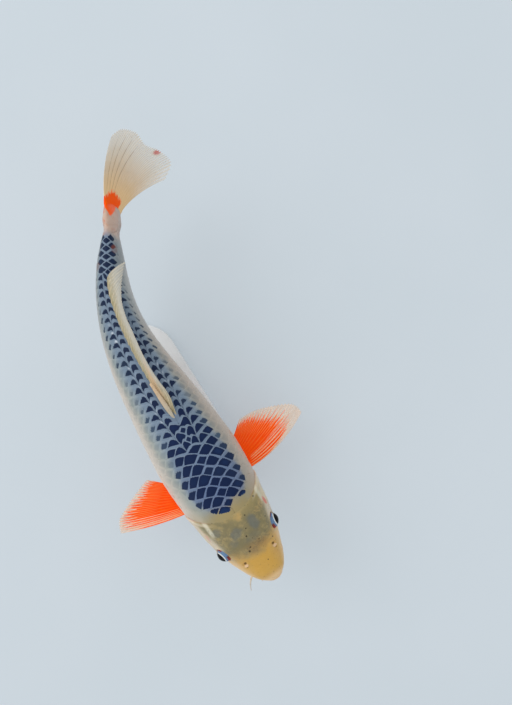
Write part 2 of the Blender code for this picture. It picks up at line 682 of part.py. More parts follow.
for label, s in (("front", 0.350), ("rear", 0.640)):
    _, z = section(s, math.pi)
    foot = np.array(place(s, 0.0, z))
    top = AXIS_Z + float(z) + 0.004
    profile = [(0.0, top), (CUP_R, top), (CUP_R, top - 0.0055), (ROD_R, top - 0.0105), (ROD_R, BASE_THICK + 0.0035), (FOOT_R, BASE_THICK + 0.0022), (FOOT_R, BASE_THICK + GAP), (0.0, BASE_THICK + GAP)]
    mesh = bpy.data.meshes.new("stand_rod_" + label)
    bm = bmesh.new()
    verts = [bm.verts.new((r, 0, h)) for r, h in profile]
    for a, b in zip(verts, verts[1:]):
        bm.edges.new((a, b))
    bmesh.ops.spin(bm, geom=bm.verts[:] + bm.edges[:], cent=(0, 0, 0), axis=(0, 0, 1), angle=2 * math.pi, steps=20, use_merge=True)
    bmesh.ops.remove_doubles(bm, verts=bm.verts, dist=1e-6)
    bmesh.ops.recalc_face_normals(bm, faces=bm.faces)
    bmesh.ops.translate(bm, vec=(foot[0], foot[1], 0), verts=bm.verts)
    bm.to_mesh(mesh)
    bm.free()
    boolean(add("stand_rod_" + label, mesh, STEEL), around_body)

# ---------------------------------------------------------------- the origin goes under the middle of the footprint
bpy.context.view_layer.update()
corners = np.array([obj.matrix_world @ Vector(c) for obj in KOI.objects for c in obj.bound_box])
middle = (corners.min(0) + corners.max(0)) / 2
for obj in KOI.objects:
    obj.location = obj.location - Vector((middle[0], middle[1], 0))

for obj in KOI.objects:
    if obj.type == "MESH" and not obj.name.startswith("stand_base"):
        obj.data.shade_smooth()
        obj.data.set_sharp_from_angle(angle=math.radians(40))
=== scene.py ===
"""The koi carp's looks: one skin, solid scales, rayed fins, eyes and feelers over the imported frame.

Metres, +Z up. The fish swims towards -Y and its own left side is towards +X.
s is the station along the body as a share of SL, theta the angle round a section from the back over the fish's left,
and arc the distance round the section from the back, in millimetres.
"""
import math

import bpy
import numpy as np
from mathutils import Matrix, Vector


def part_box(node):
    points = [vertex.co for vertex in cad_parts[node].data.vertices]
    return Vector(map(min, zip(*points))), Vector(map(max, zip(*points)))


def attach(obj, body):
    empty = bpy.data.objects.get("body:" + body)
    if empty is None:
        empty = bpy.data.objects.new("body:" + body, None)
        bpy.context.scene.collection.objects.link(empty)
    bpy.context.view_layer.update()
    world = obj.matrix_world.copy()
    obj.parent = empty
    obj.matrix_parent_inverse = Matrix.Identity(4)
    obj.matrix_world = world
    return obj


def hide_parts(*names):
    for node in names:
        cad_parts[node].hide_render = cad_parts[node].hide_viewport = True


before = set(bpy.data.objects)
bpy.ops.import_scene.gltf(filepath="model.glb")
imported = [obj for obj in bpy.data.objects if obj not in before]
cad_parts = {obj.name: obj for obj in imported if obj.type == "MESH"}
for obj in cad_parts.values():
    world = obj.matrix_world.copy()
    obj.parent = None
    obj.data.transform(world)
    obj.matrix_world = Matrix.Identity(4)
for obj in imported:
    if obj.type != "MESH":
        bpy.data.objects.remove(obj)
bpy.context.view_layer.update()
rng = np.random.default_rng(11)

# ---------------------------------------------------------------- the body's shape, as in the CAD model
SL = 0.265
AXIS_Z = 0.079
SNOUT_XY = (0.0518, -0.1448)
HEAD_YAW, TRUNK_YAW, TAIL_YAW = 36.5, 32.2, -2.5
NECK_BEND = (0.0, 0.24)
TAIL_BEND = (0.545, 0.995)
BACK_LEAN = 8.0
TAIL_TWIST = -6.0
STATION = (0.00, 0.06, 0.12, 0.18, 0.26, 0.35, 0.45, 0.56, 0.68, 0.79, 0.89, 0.955, 1.00, 1.04)
HALF_WIDTH = (0.0700, 0.0715, 0.0800, 0.0905, 0.0995, 0.1040, 0.0960, 0.0825, 0.0640, 0.0465, 0.0325, 0.0205, 0.0155, 0.0032)
BACK = (0.056, 0.067, 0.086, 0.105, 0.126, 0.144, 0.150, 0.141, 0.119, 0.092, 0.068, 0.0610, 0.0625, 0.0615)
BELLY = (0.050, 0.060, 0.074, 0.090, 0.108, 0.122, 0.127, 0.120, 0.100, 0.076, 0.0585, 0.0550, 0.0575, 0.0570)
SNOUT_ROUND = 0.148
SNOUT_BLUNT = 0.36
SNOUT_DROP = 0.024
EYE_AT, EYE_SIDE, EYE_UP, EYE_R = 0.136, 0.0171, 0.0088, 0.0058
EYE_SHELF = 0.09
MOUTH_HALF, MOUTH_UP, MOUTH_ARCH = 0.0060, -0.0090, 42.0
HEAD_ARC_AT, HEAD_ARC_R = 0.105, 0.155
BASE_AT, BASE_SIDE = 0.475, -0.006
CAP_S = 0.06


def smooth(a, b, x):
    t = np.clip((np.asarray(x, float) - a) / (b - a), 0.0, 1.0)
    return t * t * (3 - 2 * t)


def curve_through(xs, ys):
    """A smooth function through the stations, with no overshoot between them."""
    xs, ys = np.array(xs, float), np.array(ys, float)
    h, d = np.diff(xs), np.diff(ys) / np.diff(xs)
    m = np.zeros_like(ys)
    m[0], m[-1] = d[0], d[-1]
    for i in range(1, len(xs) - 1):
        if d[i - 1] * d[i] > 0:
            w1, w2 = 2 * h[i] + h[i - 1], h[i] + 2 * h[i - 1]
            m[i] = (w1 + w2) / (w1 / d[i - 1] + w2 / d[i])

    def f(x):
        x = np.clip(np.asarray(x, float), xs[0], xs[-1])
        i = np.clip(np.searchsorted(xs, x, side="right") - 1, 0, len(xs) - 2)
        t = (x - xs[i]) / h[i]
        return (
            (1 + 2 * t) * (1 - t) ** 2 * ys[i]
            + t * (1 - t) ** 2 * h[i] * m[i]
            + t * t * (3 - 2 * t) * ys[i + 1]
            + t * t * (t - 1) * h[i] * m[i + 1]
        )

    return f


half_width, back, belly = (curve_through(STATION, p) for p in (HALF_WIDTH, BACK, BELLY))


def heading(s):
    return np.radians(
        HEAD_YAW
        + (TRUNK_YAW - HEAD_YAW) * smooth(*NECK_BEND, s)
        + (TAIL_YAW - TRUNK_YAW) * smooth(*TAIL_BEND, s)
    )


SPINE_S = np.linspace(-0.05, 1.30, 1351)
_phi = heading(SPINE_S)
_step = np.stack([-np.sin(_phi), np.cos(_phi)], 1) * SL * (SPINE_S[1] - SPINE_S[0])
SPINE_XY = np.concatenate([[[0, 0]], np.cumsum((_step[1:] + _step[:-1]) / 2, axis=0)])
SPINE_XY += np.array(SNOUT_XY) - SPINE_XY[50]


def lean(s):
    return np.radians(BACK_LEAN * (1 - smooth(0.64, 0.90, s)) + TAIL_TWIST * smooth(0.93, 1.04, s))


def frame_at(s):
    """Centre, tailward, left and up directions of the section at station s."""
    s = np.asarray(s, float)
    phi, r = heading(s), lean(s)
    zero = np.zeros_like(phi)
    centre = np.stack([np.interp(s, SPINE_S, SPINE_XY[:, 0]), np.interp(s, SPINE_S, SPINE_XY[:, 1]), AXIS_Z + zero], -1)
    tail = np.stack([-np.sin(phi), np.cos(phi), zero], -1)
    left0 = np.stack([np.cos(phi), np.sin(phi), zero], -1)
    up0 = np.stack([zero, zero, zero + 1], -1)
    c, k = np.cos(r)[..., None], np.sin(r)[..., None]
    return centre, tail, left0 * c - up0 * k, up0 * c + left0 * k


def place(s, x, z):
    """The point x to the fish's left and z above the axis, at station s."""
    centre, _, left, up = frame_at(s)
    return centre + left * np.asarray(x)[..., None] + up * np.asarray(z)[..., None]


# The frame's origin is under the middle of the footprint, so the shape is shifted to where the stand's base lies.
low, high = (np.array(c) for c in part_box("stand_base"))
_c, _t, _l, _ = (np.array(v) for v in frame_at(BASE_AT))
_l = np.array([_l[0], _l[1], 0]) / math.hypot(_l[0], _l[1])
SPINE_XY += ((low + high) / 2)[:2] - (_c + _l * BASE_SIDE)[:2]


def snout_share(s, power=0.5):
    return np.clip(1 - (1 - np.clip(s / SNOUT_ROUND, 0, 1)) ** 2, 0, 1) ** power


def roundness(s):
    return 2.35 - 0.2 * smooth(0.15, 0.4, s)


def section(s, theta):
    """(x, z) of the section at station s."""
    s, theta = np.broadcast_arrays(np.asarray(s, float), np.asarray(theta, float))
    f, e = snout_share(s), 2.0 / roundness(s)
    si, co = np.sin(theta), np.cos(theta)
    x = SL * half_width(s) * f * np.sign(si) * np.abs(si) ** e
    from_top = np.abs((theta + math.pi) % (2 * math.pi) - math.pi)
    x = x * (1 - EYE_SHELF * np.exp(-(((s - EYE_AT) / 0.05) ** 2) - ((from_top - 1.0) / 0.36) ** 2))
    h = np.where(co >= 0, back(s), belly(s)) * SL * snout_share(s, SNOUT_BLUNT)
    z = h * np.sign(co) * np.abs(co) ** e - SNOUT_DROP * SL * (1 - smooth(0.0, 0.16, s))
    return x, z


def cap_depth(x, z):
    low, high = np.full(np.shape(x), 1e-6), np.full(np.shape(x), CAP_S + 0.002)
    for _ in range(30):
        s = (low + high) / 2
        n = roundness(s)
        zz = z + SNOUT_DROP * SL * (1 - smooth(0.0, 0.16, s))
        h = np.where(zz >= 0, back(s), belly(s)) * SL * snout_share(s, SNOUT_BLUNT)
        outside = (np.abs(x) / (half_width(s) * SL * snout_share(s))) ** n + (np.abs(zz) / h) ** n > 1
        low, high = np.where(outside, s, low), np.where(outside, high, s)
    return s


def lip_push(q):
    recess = -0.0016 * (1 - smooth(0.0, 0.07, q))
    crest = 0.0011 * smooth(0.0, 0.09, q) * (1 - smooth(0.13, 0.26, q))
    groove = -0.00050 * smooth(0.16, 0.25, q) * (1 - smooth(0.27, 0.40, q))
    return recess + crest + groove


def snout_ring(q, theta):
    """A ring of the snout, q from 0 at the mouth's slit to 1 at the section at CAP_S. Also its stations."""
    x1, z1 = section(CAP_S, theta)
    xm = MOUTH_HALF * np.sin(theta)
    zm = MOUTH_UP + 0.00028 * np.cos(theta) - MOUTH_ARCH * xm * xm
    x, z = xm + (x1 - xm) * q, zm + (z1 - zm) * q
    s = cap_depth(x, z)
    lower = 0.0016 * smooth(0.0, 0.003, MOUTH_UP - z) * (1 - smooth(0.15, 0.5, q))
    return place(s + (lower - lip_push(q)) / SL, x, z), s


# ---------------------------------------------------------------- arcs round the sections
TAB_S = np.linspace(0.06, 1.04, 393)
TAB_F = np.linspace(0, 1, 161)
_dense = np.linspace(0, math.pi, 361)
TAB_THETA, HALF_ROUND = np.zeros((len(TAB_S), len(TAB_F))), np.zeros(len(TAB_S))
for _i, _s in enumerate(TAB_S):
    _x, _z = section(_s, _dense)
    _d = np.concatenate([[0], np.cumsum(np.hypot(np.diff(_x), np.diff(_z)))])
    HALF_ROUND[_i] = _d[-1] * 1000
    TAB_THETA[_i] = np.interp(TAB_F * _d[-1], _d, _dense)


def half_round(s):
    """Half the way round the section at s, in mm."""
    return np.interp(s, TAB_S, HALF_ROUND)


def theta_at(s, arc):
    """The angle at an arc in mm from the back. Past the belly it goes on up the other side."""
    f = np.abs(arc) / half_round(s)
    over = f > 1
    g = np.clip(np.where(over, 2 - f, f), 0, 1)
    a = np.clip((s - TAB_S[0]) / (TAB_S[1] - TAB_S[0]), 0, len(TAB_S) - 1.001)
    b = g * (len(TAB_F) - 1.001)
    i, j = a.astype(int), b.astype(int)
    u, v = a - i, b - j
    t = (TAB_THETA[i, j] * (1 - u) + TAB_THETA[i + 1, j] * u) * (1 - v) + (TAB_THETA[i, j + 1] * (1 - u) + TAB_THETA[i + 1, j + 1] * u) * v
    return np.sign(arc + 1e-12) * np.where(over, 2 * math.pi - t, t)


def surface(s, theta):
    """Point and outward normal of the body's true surface."""
    ds, dt = 0.002, 0.01
    at = place(s, *section(s, theta))
    along = place(s + ds, *section(s + ds, theta)) - place(s - ds, *section(s - ds, theta))
    round_ = place(s, *section(s, theta + dt)) - place(s, *section(s, theta - dt))
    n = np.cross(along, round_)
    n /= np.linalg.norm(n, axis=-1, keepdims=True) + 1e-12
    centre = frame_at(s)[0]
    flip = np.sign(np.sum(n * (at - centre), -1, keepdims=True))
    return at, n * flip


COAT = 0.60  # mm from the skin up to the scales' free edges


def arc_edge(s, z):
    """Signed distance in mm behind the head's rear edge, which is an arc seen from the side. z in metres."""
    d = np.hypot((s - HEAD_ARC_AT) * SL, z)
    return (np.where(s > HEAD_ARC_AT, d, -d) - HEAD_ARC_R * SL) * 1000


def coat_depth(s, z):
    """How far the skin lies under the true surface, in mm: nothing on the head and on the tail's root."""
    return COAT * smooth(0.0, 1.6, arc_edge(s, z)) * (1 - smooth(0.972, 0.992, s)) + waist(s)


def waist(s):
    """The tail's root is a little slimmer than its solid, in mm."""
    return 0.95 * np.exp(-(((s - 0.968) / 0.020) ** 2))


# ---------------------------------------------------------------- mesh and material helpers
def C(r, g, b, gain=1.0):
    """A colour as it looks in the soft studio light, as a linear albedo."""
    out = []
    for c in (r, g, b):
        c = c / 255
        c = c / 12.92 if c <= 0.04045 else ((c + 0.055) / 1.055) ** 2.4
        out.append(min(0.95, c * gain / LIGHT_ON_TOP))
    return (*out, 1.0)


LIGHT_ON_TOP = 1.0  # light that falls on a surface facing up, as a share of full white


class Net:
    """A material's nodes, written as sums."""

    def __init__(self, name):
        self.m = bpy.data.materials.new(name)
        self.m.use_nodes = True
        self.t = self.m.node_tree
        self.t.nodes.clear()
        out = self.t.nodes.new("ShaderNodeOutputMaterial")
        self.bsdf = self.t.nodes.new("ShaderNodeBsdfPrincipled")
        self.t.links.new(self.bsdf.outputs[0], out.inputs[0])
        self.coords = self.t.nodes.new("ShaderNodeTexCoord").outputs["Object"]

    def put(self, socket, value):
        if isinstance(value, bpy.types.NodeSocket):
            self.t.links.new(value, socket)
        else:
            socket.default_value = value

    def set(self, **values):
        for name, value in values.items():
            self.put(self.bsdf.inputs[name.replace("_", " ")], value)

    def math(self, op, *values, clamp=False):
        n = self.t.nodes.new("ShaderNodeMath")
        n.operation, n.use_clamp = op, clamp
        for s, v in zip(n.inputs, values):
            self.put(s, v)
        return n.outputs[0]

    def add(self, a, b):
        return self.math("ADD", a, b)

    def sub(self, a, b):
        return self.math("SUBTRACT", a, b)

    def mul(self, a, b):
        return self.math("MULTIPLY", a, b)

    def low(self, a, b):
        return self.math("MINIMUM", a, b)

    def high(self, a, b):
        return self.math("MAXIMUM", a, b)

    def inv(self, a):
        return self.math("SUBTRACT", 1.0, a)

    def step(self, x, a, b, lo=0.0, hi=1.0):
        n = self.t.nodes.new("ShaderNodeMapRange")
        n.interpolation_type = "SMOOTHSTEP"
        for s, v in zip(n.inputs, (x, a, b, lo, hi)):
            self.put(s, v)
        return n.outputs[0]

    def attr(self, name):
        n = self.t.nodes.new("ShaderNodeAttribute")
        n.attribute_name = name
        return n.outputs["Vector"]

    def split(self, v):
        n = self.t.nodes.new("ShaderNodeSeparateXYZ")
        self.put(n.inputs[0], v)
        return n.outputs[0], n.outputs[1], n.outputs[2]

    def join(self, x, y, z):
        n = self.t.nodes.new("ShaderNodeCombineXYZ")
        for s, v in zip(n.inputs, (x, y, z)):
            self.put(s, v)
        return n.outputs[0]

    def vec(self, op, a, b):
        n = self.t.nodes.new("ShaderNodeVectorMath")
        n.operation = op
        self.put(n.inputs[0], a)
        self.put(n.inputs[1], b)
        return n.outputs["Value"] if op in ("LENGTH", "DISTANCE", "DOT_PRODUCT") else n.outputs[0]

    def noise(self, scale, detail=2.0, rough=0.5, vector=None, distortion=0.0):
        n = self.t.nodes.new("ShaderNodeTexNoise")
        self.put(n.inputs["Vector"], self.coords if vector is None else vector)
        n.inputs["Scale"].default_value = scale
        n.inputs["Detail"].default_value = detail
        n.inputs["Roughness"].default_value = rough
        n.inputs["Distortion"].default_value = distortion
        return n.outputs[0]

    def cells(self, scale, vector=None, feature="F1"):
        n = self.t.nodes.new("ShaderNodeTexVoronoi")
        n.feature = feature
        self.put(n.inputs["Vector"], self.coords if vector is None else vector)
        n.inputs["Scale"].default_value = scale
        return n.outputs[0]

    def mix(self, f, a, b, mode="MIX"):
        n = self.t.nodes.new("ShaderNodeMix")
        n.data_type, n.blend_type = "RGBA", mode
        self.put(n.inputs[0], f)
        self.put(n.inputs[6], a)
        self.put(n.inputs[7], b)
        return n.outputs[2]

    def ramp(self, f, stops):
        n = self.t.nodes.new("ShaderNodeValToRGB")
        self.put(n.inputs[0], f)
        e = n.color_ramp.elements
        while len(e) < len(stops):
            e.new(0.5)
        for k, (at, colour) in enumerate(stops):
            e[k].position, e[k].color = at, colour
        return n.outputs[0]

    def bump(self, height, strength, distance, normal=None):
        n = self.t.nodes.new("ShaderNodeBump")
        n.inputs["Strength"].default_value = strength
        n.inputs["Distance"].default_value = distance
        self.put(n.inputs["Height"], height)
        if normal is not None:
            self.put(n.inputs["Normal"], normal)
        return n.outputs[0]


def piece(name, points, faces, uvs, mat, attrs=None, nodes=(), smooth_faces=True):
    """A mesh object on the body: faces is a list or array of faces, uvs the (u, v) of each corner in turn."""
    mesh = bpy.data.meshes.new(name)
    mesh.from_pydata(np.asarray(points, np.float32).tolist(), [], faces.tolist() if isinstance(faces, np.ndarray) else faces)
    for key, values in (attrs or {}).items():
        layer = mesh.attributes.new(key, "FLOAT_VECTOR", "POINT")
        layer.data.foreach_set("vector", np.asarray(values, np.float32).ravel())
    if uvs is not None:
        layer = mesh.uv_layers.new(name="OFBake")
        layer.data.foreach_set("uv", np.asarray(uvs, np.float32).ravel())
    if smooth_faces:
        mesh.shade_smooth()
    mesh.materials.append(mat)
    obj = bpy.data.objects.new(name, mesh)
    bpy.context.scene.collection.objects.link(obj)
    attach(obj, "root")
    if nodes:
        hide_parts(*nodes)
    return obj


def grid_faces(nu, nv, offset=0, flip=False):
    """Quads over a grid of nu by nv points stored row by row."""
    i, j = np.meshgrid(np.arange(nu - 1), np.arange(nv - 1), indexing="ij")
    a = (i * nv + j).ravel() + offset
    quads = np.stack([a, a + nv, a + nv + 1, a + 1], 1)
    return quads[:, ::-1] if flip else quads


def unit(v):
    v = np.asarray(v, float)
    return v / (np.linalg.norm(v, axis=-1, keepdims=True) + 1e-12)


# ---------------------------------------------------------------- head coordinates, in mm: back from the snout, left, up
_hc, HEAD_T, HEAD_L, HEAD_U = (np.array(v) for v in frame_at(0.1))
HEAD_O = _hc - HEAD_T * 0.1 * SL


def head_mm(p):
    r = (np.asarray(p) - HEAD_O) * 1000
    return np.stack([r @ HEAD_T, r @ HEAD_L, r @ HEAD_U], -1)


def from_head(t, x, z):
    return HEAD_O + (HEAD_T * t + HEAD_L * x + HEAD_U * z) / 1000


EYES = {}
for side, label in ((1, "left"), (-1, "right")):
    at = place(np.array(EYE_AT), np.array(side * EYE_SIDE), np.array(EYE_UP))
    EYES[label] = (side, at, unit(-0.16 * HEAD_T + 0.93 * side * HEAD_L + 0.30 * HEAD_U))
NOSTRIL = (24.0, 10.9)  # back from the snout and to each side, in mm


# ---------------------------------------------------------------- the skin
def skin_shape(p, normal, s, theta):
    """The head's folds, sockets and gill edges, as moves along the normal. p in metres."""
    h = head_mm(p)
    t, x, z = h[:, 0], h[:, 1], h[:, 2]
    _, zs = section(np.clip(s, 0.02, 1.04), theta)
    from_top = np.abs((theta + math.pi) % (2 * math.pi) - math.pi)
    side_share = smooth(0.50, 0.95, from_top) * (1 - smooth(2.55, 2.95, from_top))
    out = np.zeros(len(p))
    # Gill cover: swells, then drops at its free edge, with a soft border in front of it.
    edge = arc_edge(s, zs)
    out += side_share * (0.55 * smooth(-9.0, -1.5, edge) * (1 - smooth(-0.9, 0.4, edge)) * (s > 0.14))
    out -= side_share * 0.35 * np.exp(-(((edge - 0.7) / 0.8) ** 2)) * (s > 0.14)
    out -= side_share * 0.16 * np.exp(-(((edge + 3.2) / 0.5) ** 2)) * (s > 0.14)
    # Groove in front of the gill cover, an arc behind the eye.
    pre = (np.hypot((s - 0.128) * SL, zs + 0.002) - 0.064 * SL) * 1000
    behind = smooth(0.150, 0.168, s) * (1 - smooth(0.21, 0.23, s))
    out -= side_share * behind * 0.30 * np.exp(-((pre / 0.75) ** 2))
    out += side_share * behind * 0.16 * np.exp(-(((pre + 1.7) / 1.1) ** 2))
    # Cheek plates under the eye and a slight brow over it.
    out += 0.25 * np.exp(-(((s - 0.135) / 0.022) ** 2) - ((from_top - 1.95) / 0.28) ** 2)
    # Skull: shallow dips between the brows and the midline, and the nape's end.
    out -= 0.35 * np.exp(-(((s - 0.105) / 0.030) ** 2) - ((from_top - 0.30) / 0.16) ** 2)
    out += 0.20 * np.exp(-(((s - 0.14) / 0.05) ** 2) - (from_top / 0.16) ** 2)
    out += 0.30 * np.exp(-(((s - 0.150) / 0.035) ** 2) - ((from_top - 0.66) / 0.14) ** 2)
    # Fold of the upper jaw: a crease that runs back and down from over the mouth.
    for side in (1, -1):
        fold = np.hypot(t - 9.5, (z + 5.0)) - 8.8
        on = (side * x > 5.0) & (z < 4) & (z > -13)
        out -= np.where(on, 0.35 * np.exp(-((fold / 0.55) ** 2)) * smooth(5.0, 7.0, side * x) * smooth(4, 0, -z * -1 + 0) , 0)
        # Nostrils: a hollow with a raised rim on its front side.
        d = np.hypot(t - NOSTRIL[0], side * x - NOSTRIL[1])
        up = z > 4
        out -= np.where(up, 1.1 * np.exp(-((d / 0.95) ** 2)), 0)
        out += np.where(up, 0.35 * np.exp(-(((d - 1.9) / 0.6) ** 2)), 0)
        d = np.hypot(t - (NOSTRIL[0] - 3.6), side * x - NOSTRIL[1] - 0.4)
        out -= np.where(up, 0.55 * np.exp(-((d / 0.7) ** 2)), 0)
    # Slow unevenness of living skin.
    out += 0.05 * np.sin(t * 0.9 + 2.0 * np.sin(x * 0.31)) * np.sin(x * 0.8 + 0.7 * z) * (1 - smooth(60, 80, t))
    moved = p + normal * (out / 1000)[:, None]
    # Sockets: the skin dips under the eyeball and rises into a rim round it.
    for side, at, axis in EYES.values():
        r = (moved - at) * 1000
        along = r @ axis
        rho = np.linalg.norm(r - along[:, None] * axis, axis=1)
        near = (rho < 9) & (along > -3)
        ball = np.sqrt(np.clip((EYE_R * 1000) ** 2 - rho**2, 0, None))
        sink = (1 - smooth(4.5, 5.5, rho)) * (np.maximum(along - (ball - 1.6), 0))
        rim = 0.34 * np.exp(-(((rho - 5.9) / 0.5) ** 2)) - 0.22 * np.exp(-(((rho - 7.2) / 0.6) ** 2))
        shift = np.where(near, rim - sink, 0)
        moved = moved + axis * (shift / 1000)[:, None]
    return moved


def make_skin():
    seg = 256
    theta = np.linspace(0, 2 * math.pi, seg, endpoint=False)
    rings, stations = [], []
    for q in np.concatenate([[0, 0.012, 0.026, 0.045, 0.07], np.linspace(0.095, 0.98, 40)]):
        p, s = snout_ring(q, theta)
        rings.append(p)
        stations.append(s)
    for s in np.concatenate([np.arange(0.0605, 0.300, 0.0022), np.arange(0.300, 1.0398, 0.0062), [1.0398]]):
        ss = np.full(seg, s)
        rings.append(place(ss, *section(ss, theta)))
        stations.append(ss)
    p, s = np.stack(rings), np.stack(stations)
    # Normals from the grid itself.
    du = np.gradient(p, axis=0)
    dv = np.roll(p, -1, 1) - np.roll(p, 1, 1)
    n = unit(np.cross(du, dv))
    inner = frame_at(np.clip(s + 0.03, 0.03, 1.04))[0]
    n *= np.sign(np.sum(n * (p - inner), -1, keepdims=True))
    th = np.broadcast_to(theta, s.shape)
    _, zs = section(np.clip(s, 0.02, 1.04), th)
    depth = coat_depth(s, zs) / 1000
    p = p - n * depth[..., None]
    shape = p.shape[:2]
    flat, nf, sf, tf = p.reshape(-1, 3), n.reshape(-1, 3), s.ravel(), th.ravel()
    out = skin_shape(flat, nf, sf, tf)
    # Faces: quads between the rings, and caps that close the mouth's slit and the tail's end.
    nr = shape[0]
    i, j = np.meshgrid(np.arange(nr - 1), np.arange(seg), indexing="ij")
    i, j = i.ravel(), j.ravel()
    k = (j + 1) % seg
    quads = np.stack([i * seg + j, i * seg + k, (i + 1) * seg + k, (i + 1) * seg + j], 1)
    meridian = np.concatenate([[0], np.cumsum(np.linalg.norm(np.diff(p[:, 0], axis=0), axis=1))])
    u = meridian / meridian[-1] * 0.98 + 0.01
    uv = np.stack([np.stack([u[i], j / seg], 1), np.stack([u[i], (j + 1) / seg], 1), np.stack([u[i + 1], (j + 1) / seg], 1), np.stack([u[i + 1], j / seg], 1)], 1)
    faces, uvs = quads.tolist(), [uv.reshape(-1, 2)]
    for ring, flip, at in ((0, True, 0.004), (nr - 1, False, 0.996)):
        for a in range(seg // 2):
            quad = [ring * seg + a, ring * seg + a + 1, ring * seg + (seg - a - 1) % seg, ring * seg + (seg - a) % seg]
            quad = [v for m, v in enumerate(quad) if v not in quad[:m]]
            if len(quad) > 2:
                faces.append(quad if flip else quad[::-1])
                uvs.append(np.array([[at + 0.002 * (m % 2), (v % seg) / seg] for m, v in enumerate(quad)]))
    from_top = np.abs((tf + math.pi) % (2 * math.pi) - math.pi)
    f = np.zeros(len(sf))
    # Share of the way from back to belly, by arc where the tables reach, by angle on the snout.
    table_angle = np.linspace(0, math.pi, 181)
    for a in range(0, nr):
        rows = slice(a * seg, (a + 1) * seg)
        sa = max(0.06, float(sf[rows].mean()))
        ti = min(len(TAB_S) - 1, int(round((sa - TAB_S[0]) / (TAB_S[1] - TAB_S[0]))))
        f[rows] = np.interp(from_top[rows], TAB_THETA[ti], TAB_F)
    side = np.where(np.sin(tf) >= 0, 1.0, -1.0)
    ring_q = np.repeat(np.concatenate([np.concatenate([[0, 0.012, 0.026, 0.045, 0.07], np.linspace(0.095, 0.98, 40)]), np.full(nr - 45, 2.0)]), seg)
    attrs = {"body": np.stack([sf, f, side * f], 1), "head": head_mm(out), "ring": np.stack([ring_q, tf, arc_edge(sf, zs.ravel())], 1)}
    return out, faces, np.concatenate(uvs), attrs


# ---------------------------------------------------------------- colours of the flesh, shared by skin and scales
def flesh(g, s, f, side_f):
    """The body's colour under the dark net: grey-blue along the back, through grey, to cream on the belly."""
    n = g.noise(55, 3, 0.6)
    ff = g.add(f, g.mul(g.sub(n, 0.5), 0.10))
    trunk = g.ramp(ff, [
        (0.00, C(112, 132, 160)), (0.12, C(120, 137, 154)), (0.18, C(138, 149, 154)), (0.22, C(150, 156, 152)), (0.26, C(170, 168, 160)),
        (0.30, C(186, 179, 169)), (0.36, C(200, 190, 179)), (0.50, C(213, 206, 195)), (1.00, C(224, 220, 211))])
    stem = g.ramp(ff, [
        (0.00, C(112, 132, 158)), (0.13, C(118, 133, 145)), (0.21, C(138, 147, 150)), (0.29, C(148, 152, 152)), (0.42, C(166, 167, 165)),
        (0.60, C(180, 179, 175)), (0.80, C(198, 194, 187)), (1.00, C(214, 210, 203))])
    colour = g.mix(g.step(s, 0.58, 0.80), trunk, stem)
    colour = g.mix(g.mul(g.step(s, 0.85, 0.91), g.mul(g.step(f, 0.06, 0.20), 0.60)), colour, C(124, 130, 134))
    shoulder = g.ramp(ff, [
        (0.00, C(156, 140, 98)), (0.14, C(148, 136, 100)), (0.20, C(152, 142, 112)), (0.25, C(172, 160, 134)), (0.30, C(174, 161, 136)),
        (0.38, C(182, 169, 149)), (0.50, C(202, 191, 174)), (0.80, C(220, 214, 204)), (1.00, C(226, 221, 211))])
    ahead = g.inv(g.step(g.add(s, g.mul(g.sub(n, 0.5), 0.05)), 0.225, 0.285))
    colour = g.mix(ahead, colour, shoulder)
    # The fish's left flank, turned away from the light, is a little darker and browner: partly its own tone, partly
    # painted shade.
    warm = g.mul(g.mul(g.step(side_f, 0.14, 0.24), g.inv(g.step(side_f, 0.40, 0.60))), g.mul(g.inv(g.step(s, 0.55, 0.85)), 0.34))
    colour = g.mix(warm, colour, C(150, 126, 108))
    # The tail's root is pale and pink.
    root = g.mul(g.step(g.add(s, g.mul(g.sub(g.noise(120, 3, 0.6), 0.5), 0.05)), 0.938, 0.978), g.step(f, 0.30, 0.75, 1.0, 0.55))
    pink = g.mix(g.step(g.noise(160, 3, 0.6), 0.46, 0.66), C(193, 167, 151), C(194, 147, 124))
    colour = g.mix(root, colour, pink)
    # Dark flecks low on the sides.
    flecks = g.mul(g.step(g.noise(150, 3, 0.65), 0.50, 0.70), g.mul(g.step(f, 0.14, 0.22), g.inv(g.step(f, 0.36, 0.52))))
    colour = g.mix(g.mul(g.mul(flecks, g.step(s, 0.42, 0.52)), g.mul(g.inv(root), 0.34)), colour, C(96, 110, 116))
    # The orange of the tail fin runs onto the tail's root as a V.
    arc = g.mul(side_f, 30.5)
    bound = g.add(1.0005, g.add(g.mul(g.high(g.sub(3.4, arc), 0.0), 0.0052), g.mul(g.high(g.sub(arc, 3.4), 0.0), 0.0023)))
    vee = g.step(g.add(g.sub(s, bound), g.mul(g.sub(g.noise(800, 2, 0.6), 0.5), 0.006)), -0.0015, 0.0020)
    red = g.mul(g.inv(g.step(g.math("ABSOLUTE", g.add(side_f, 0.03)), 0.0, 0.04)), g.mul(g.step(s, 0.974, 0.990), 0.6))
    colour = g.mix(g.mul(red, g.inv(vee)), colour, C(200, 92, 68))
    blush = g.mul(g.mul(g.inv(g.step(side_f, -0.22, -0.08)), g.step(side_f, -0.62, -0.42)), g.mul(g.step(s, 0.960, 0.985), 0.45))
    colour = g.mix(g.mul(blush, g.inv(vee)), colour, C(188, 116, 92))
    return g.mix(vee, colour, C(255, 88, 0))


# ---------------------------------------------------------------- skin material
SPECKS = ((40.1, -0.2, 0.62), (36.9, 2.1, 0.42), (33.4, 5.2, 0.42), (30.3, -4.0, 0.72), (32.5, -2.1, 0.40), (51.9, 6.3, 0.40),
          (56.9, 9.7, 0.36), (44.5, 2.2, 0.38), (28.0, 13.1, 0.38), (42.2, 16.5, 0.36), (17.2, 2.5, 0.42), (59.5, -13.1, 0.48), (57.8, 17.2, 0.60))


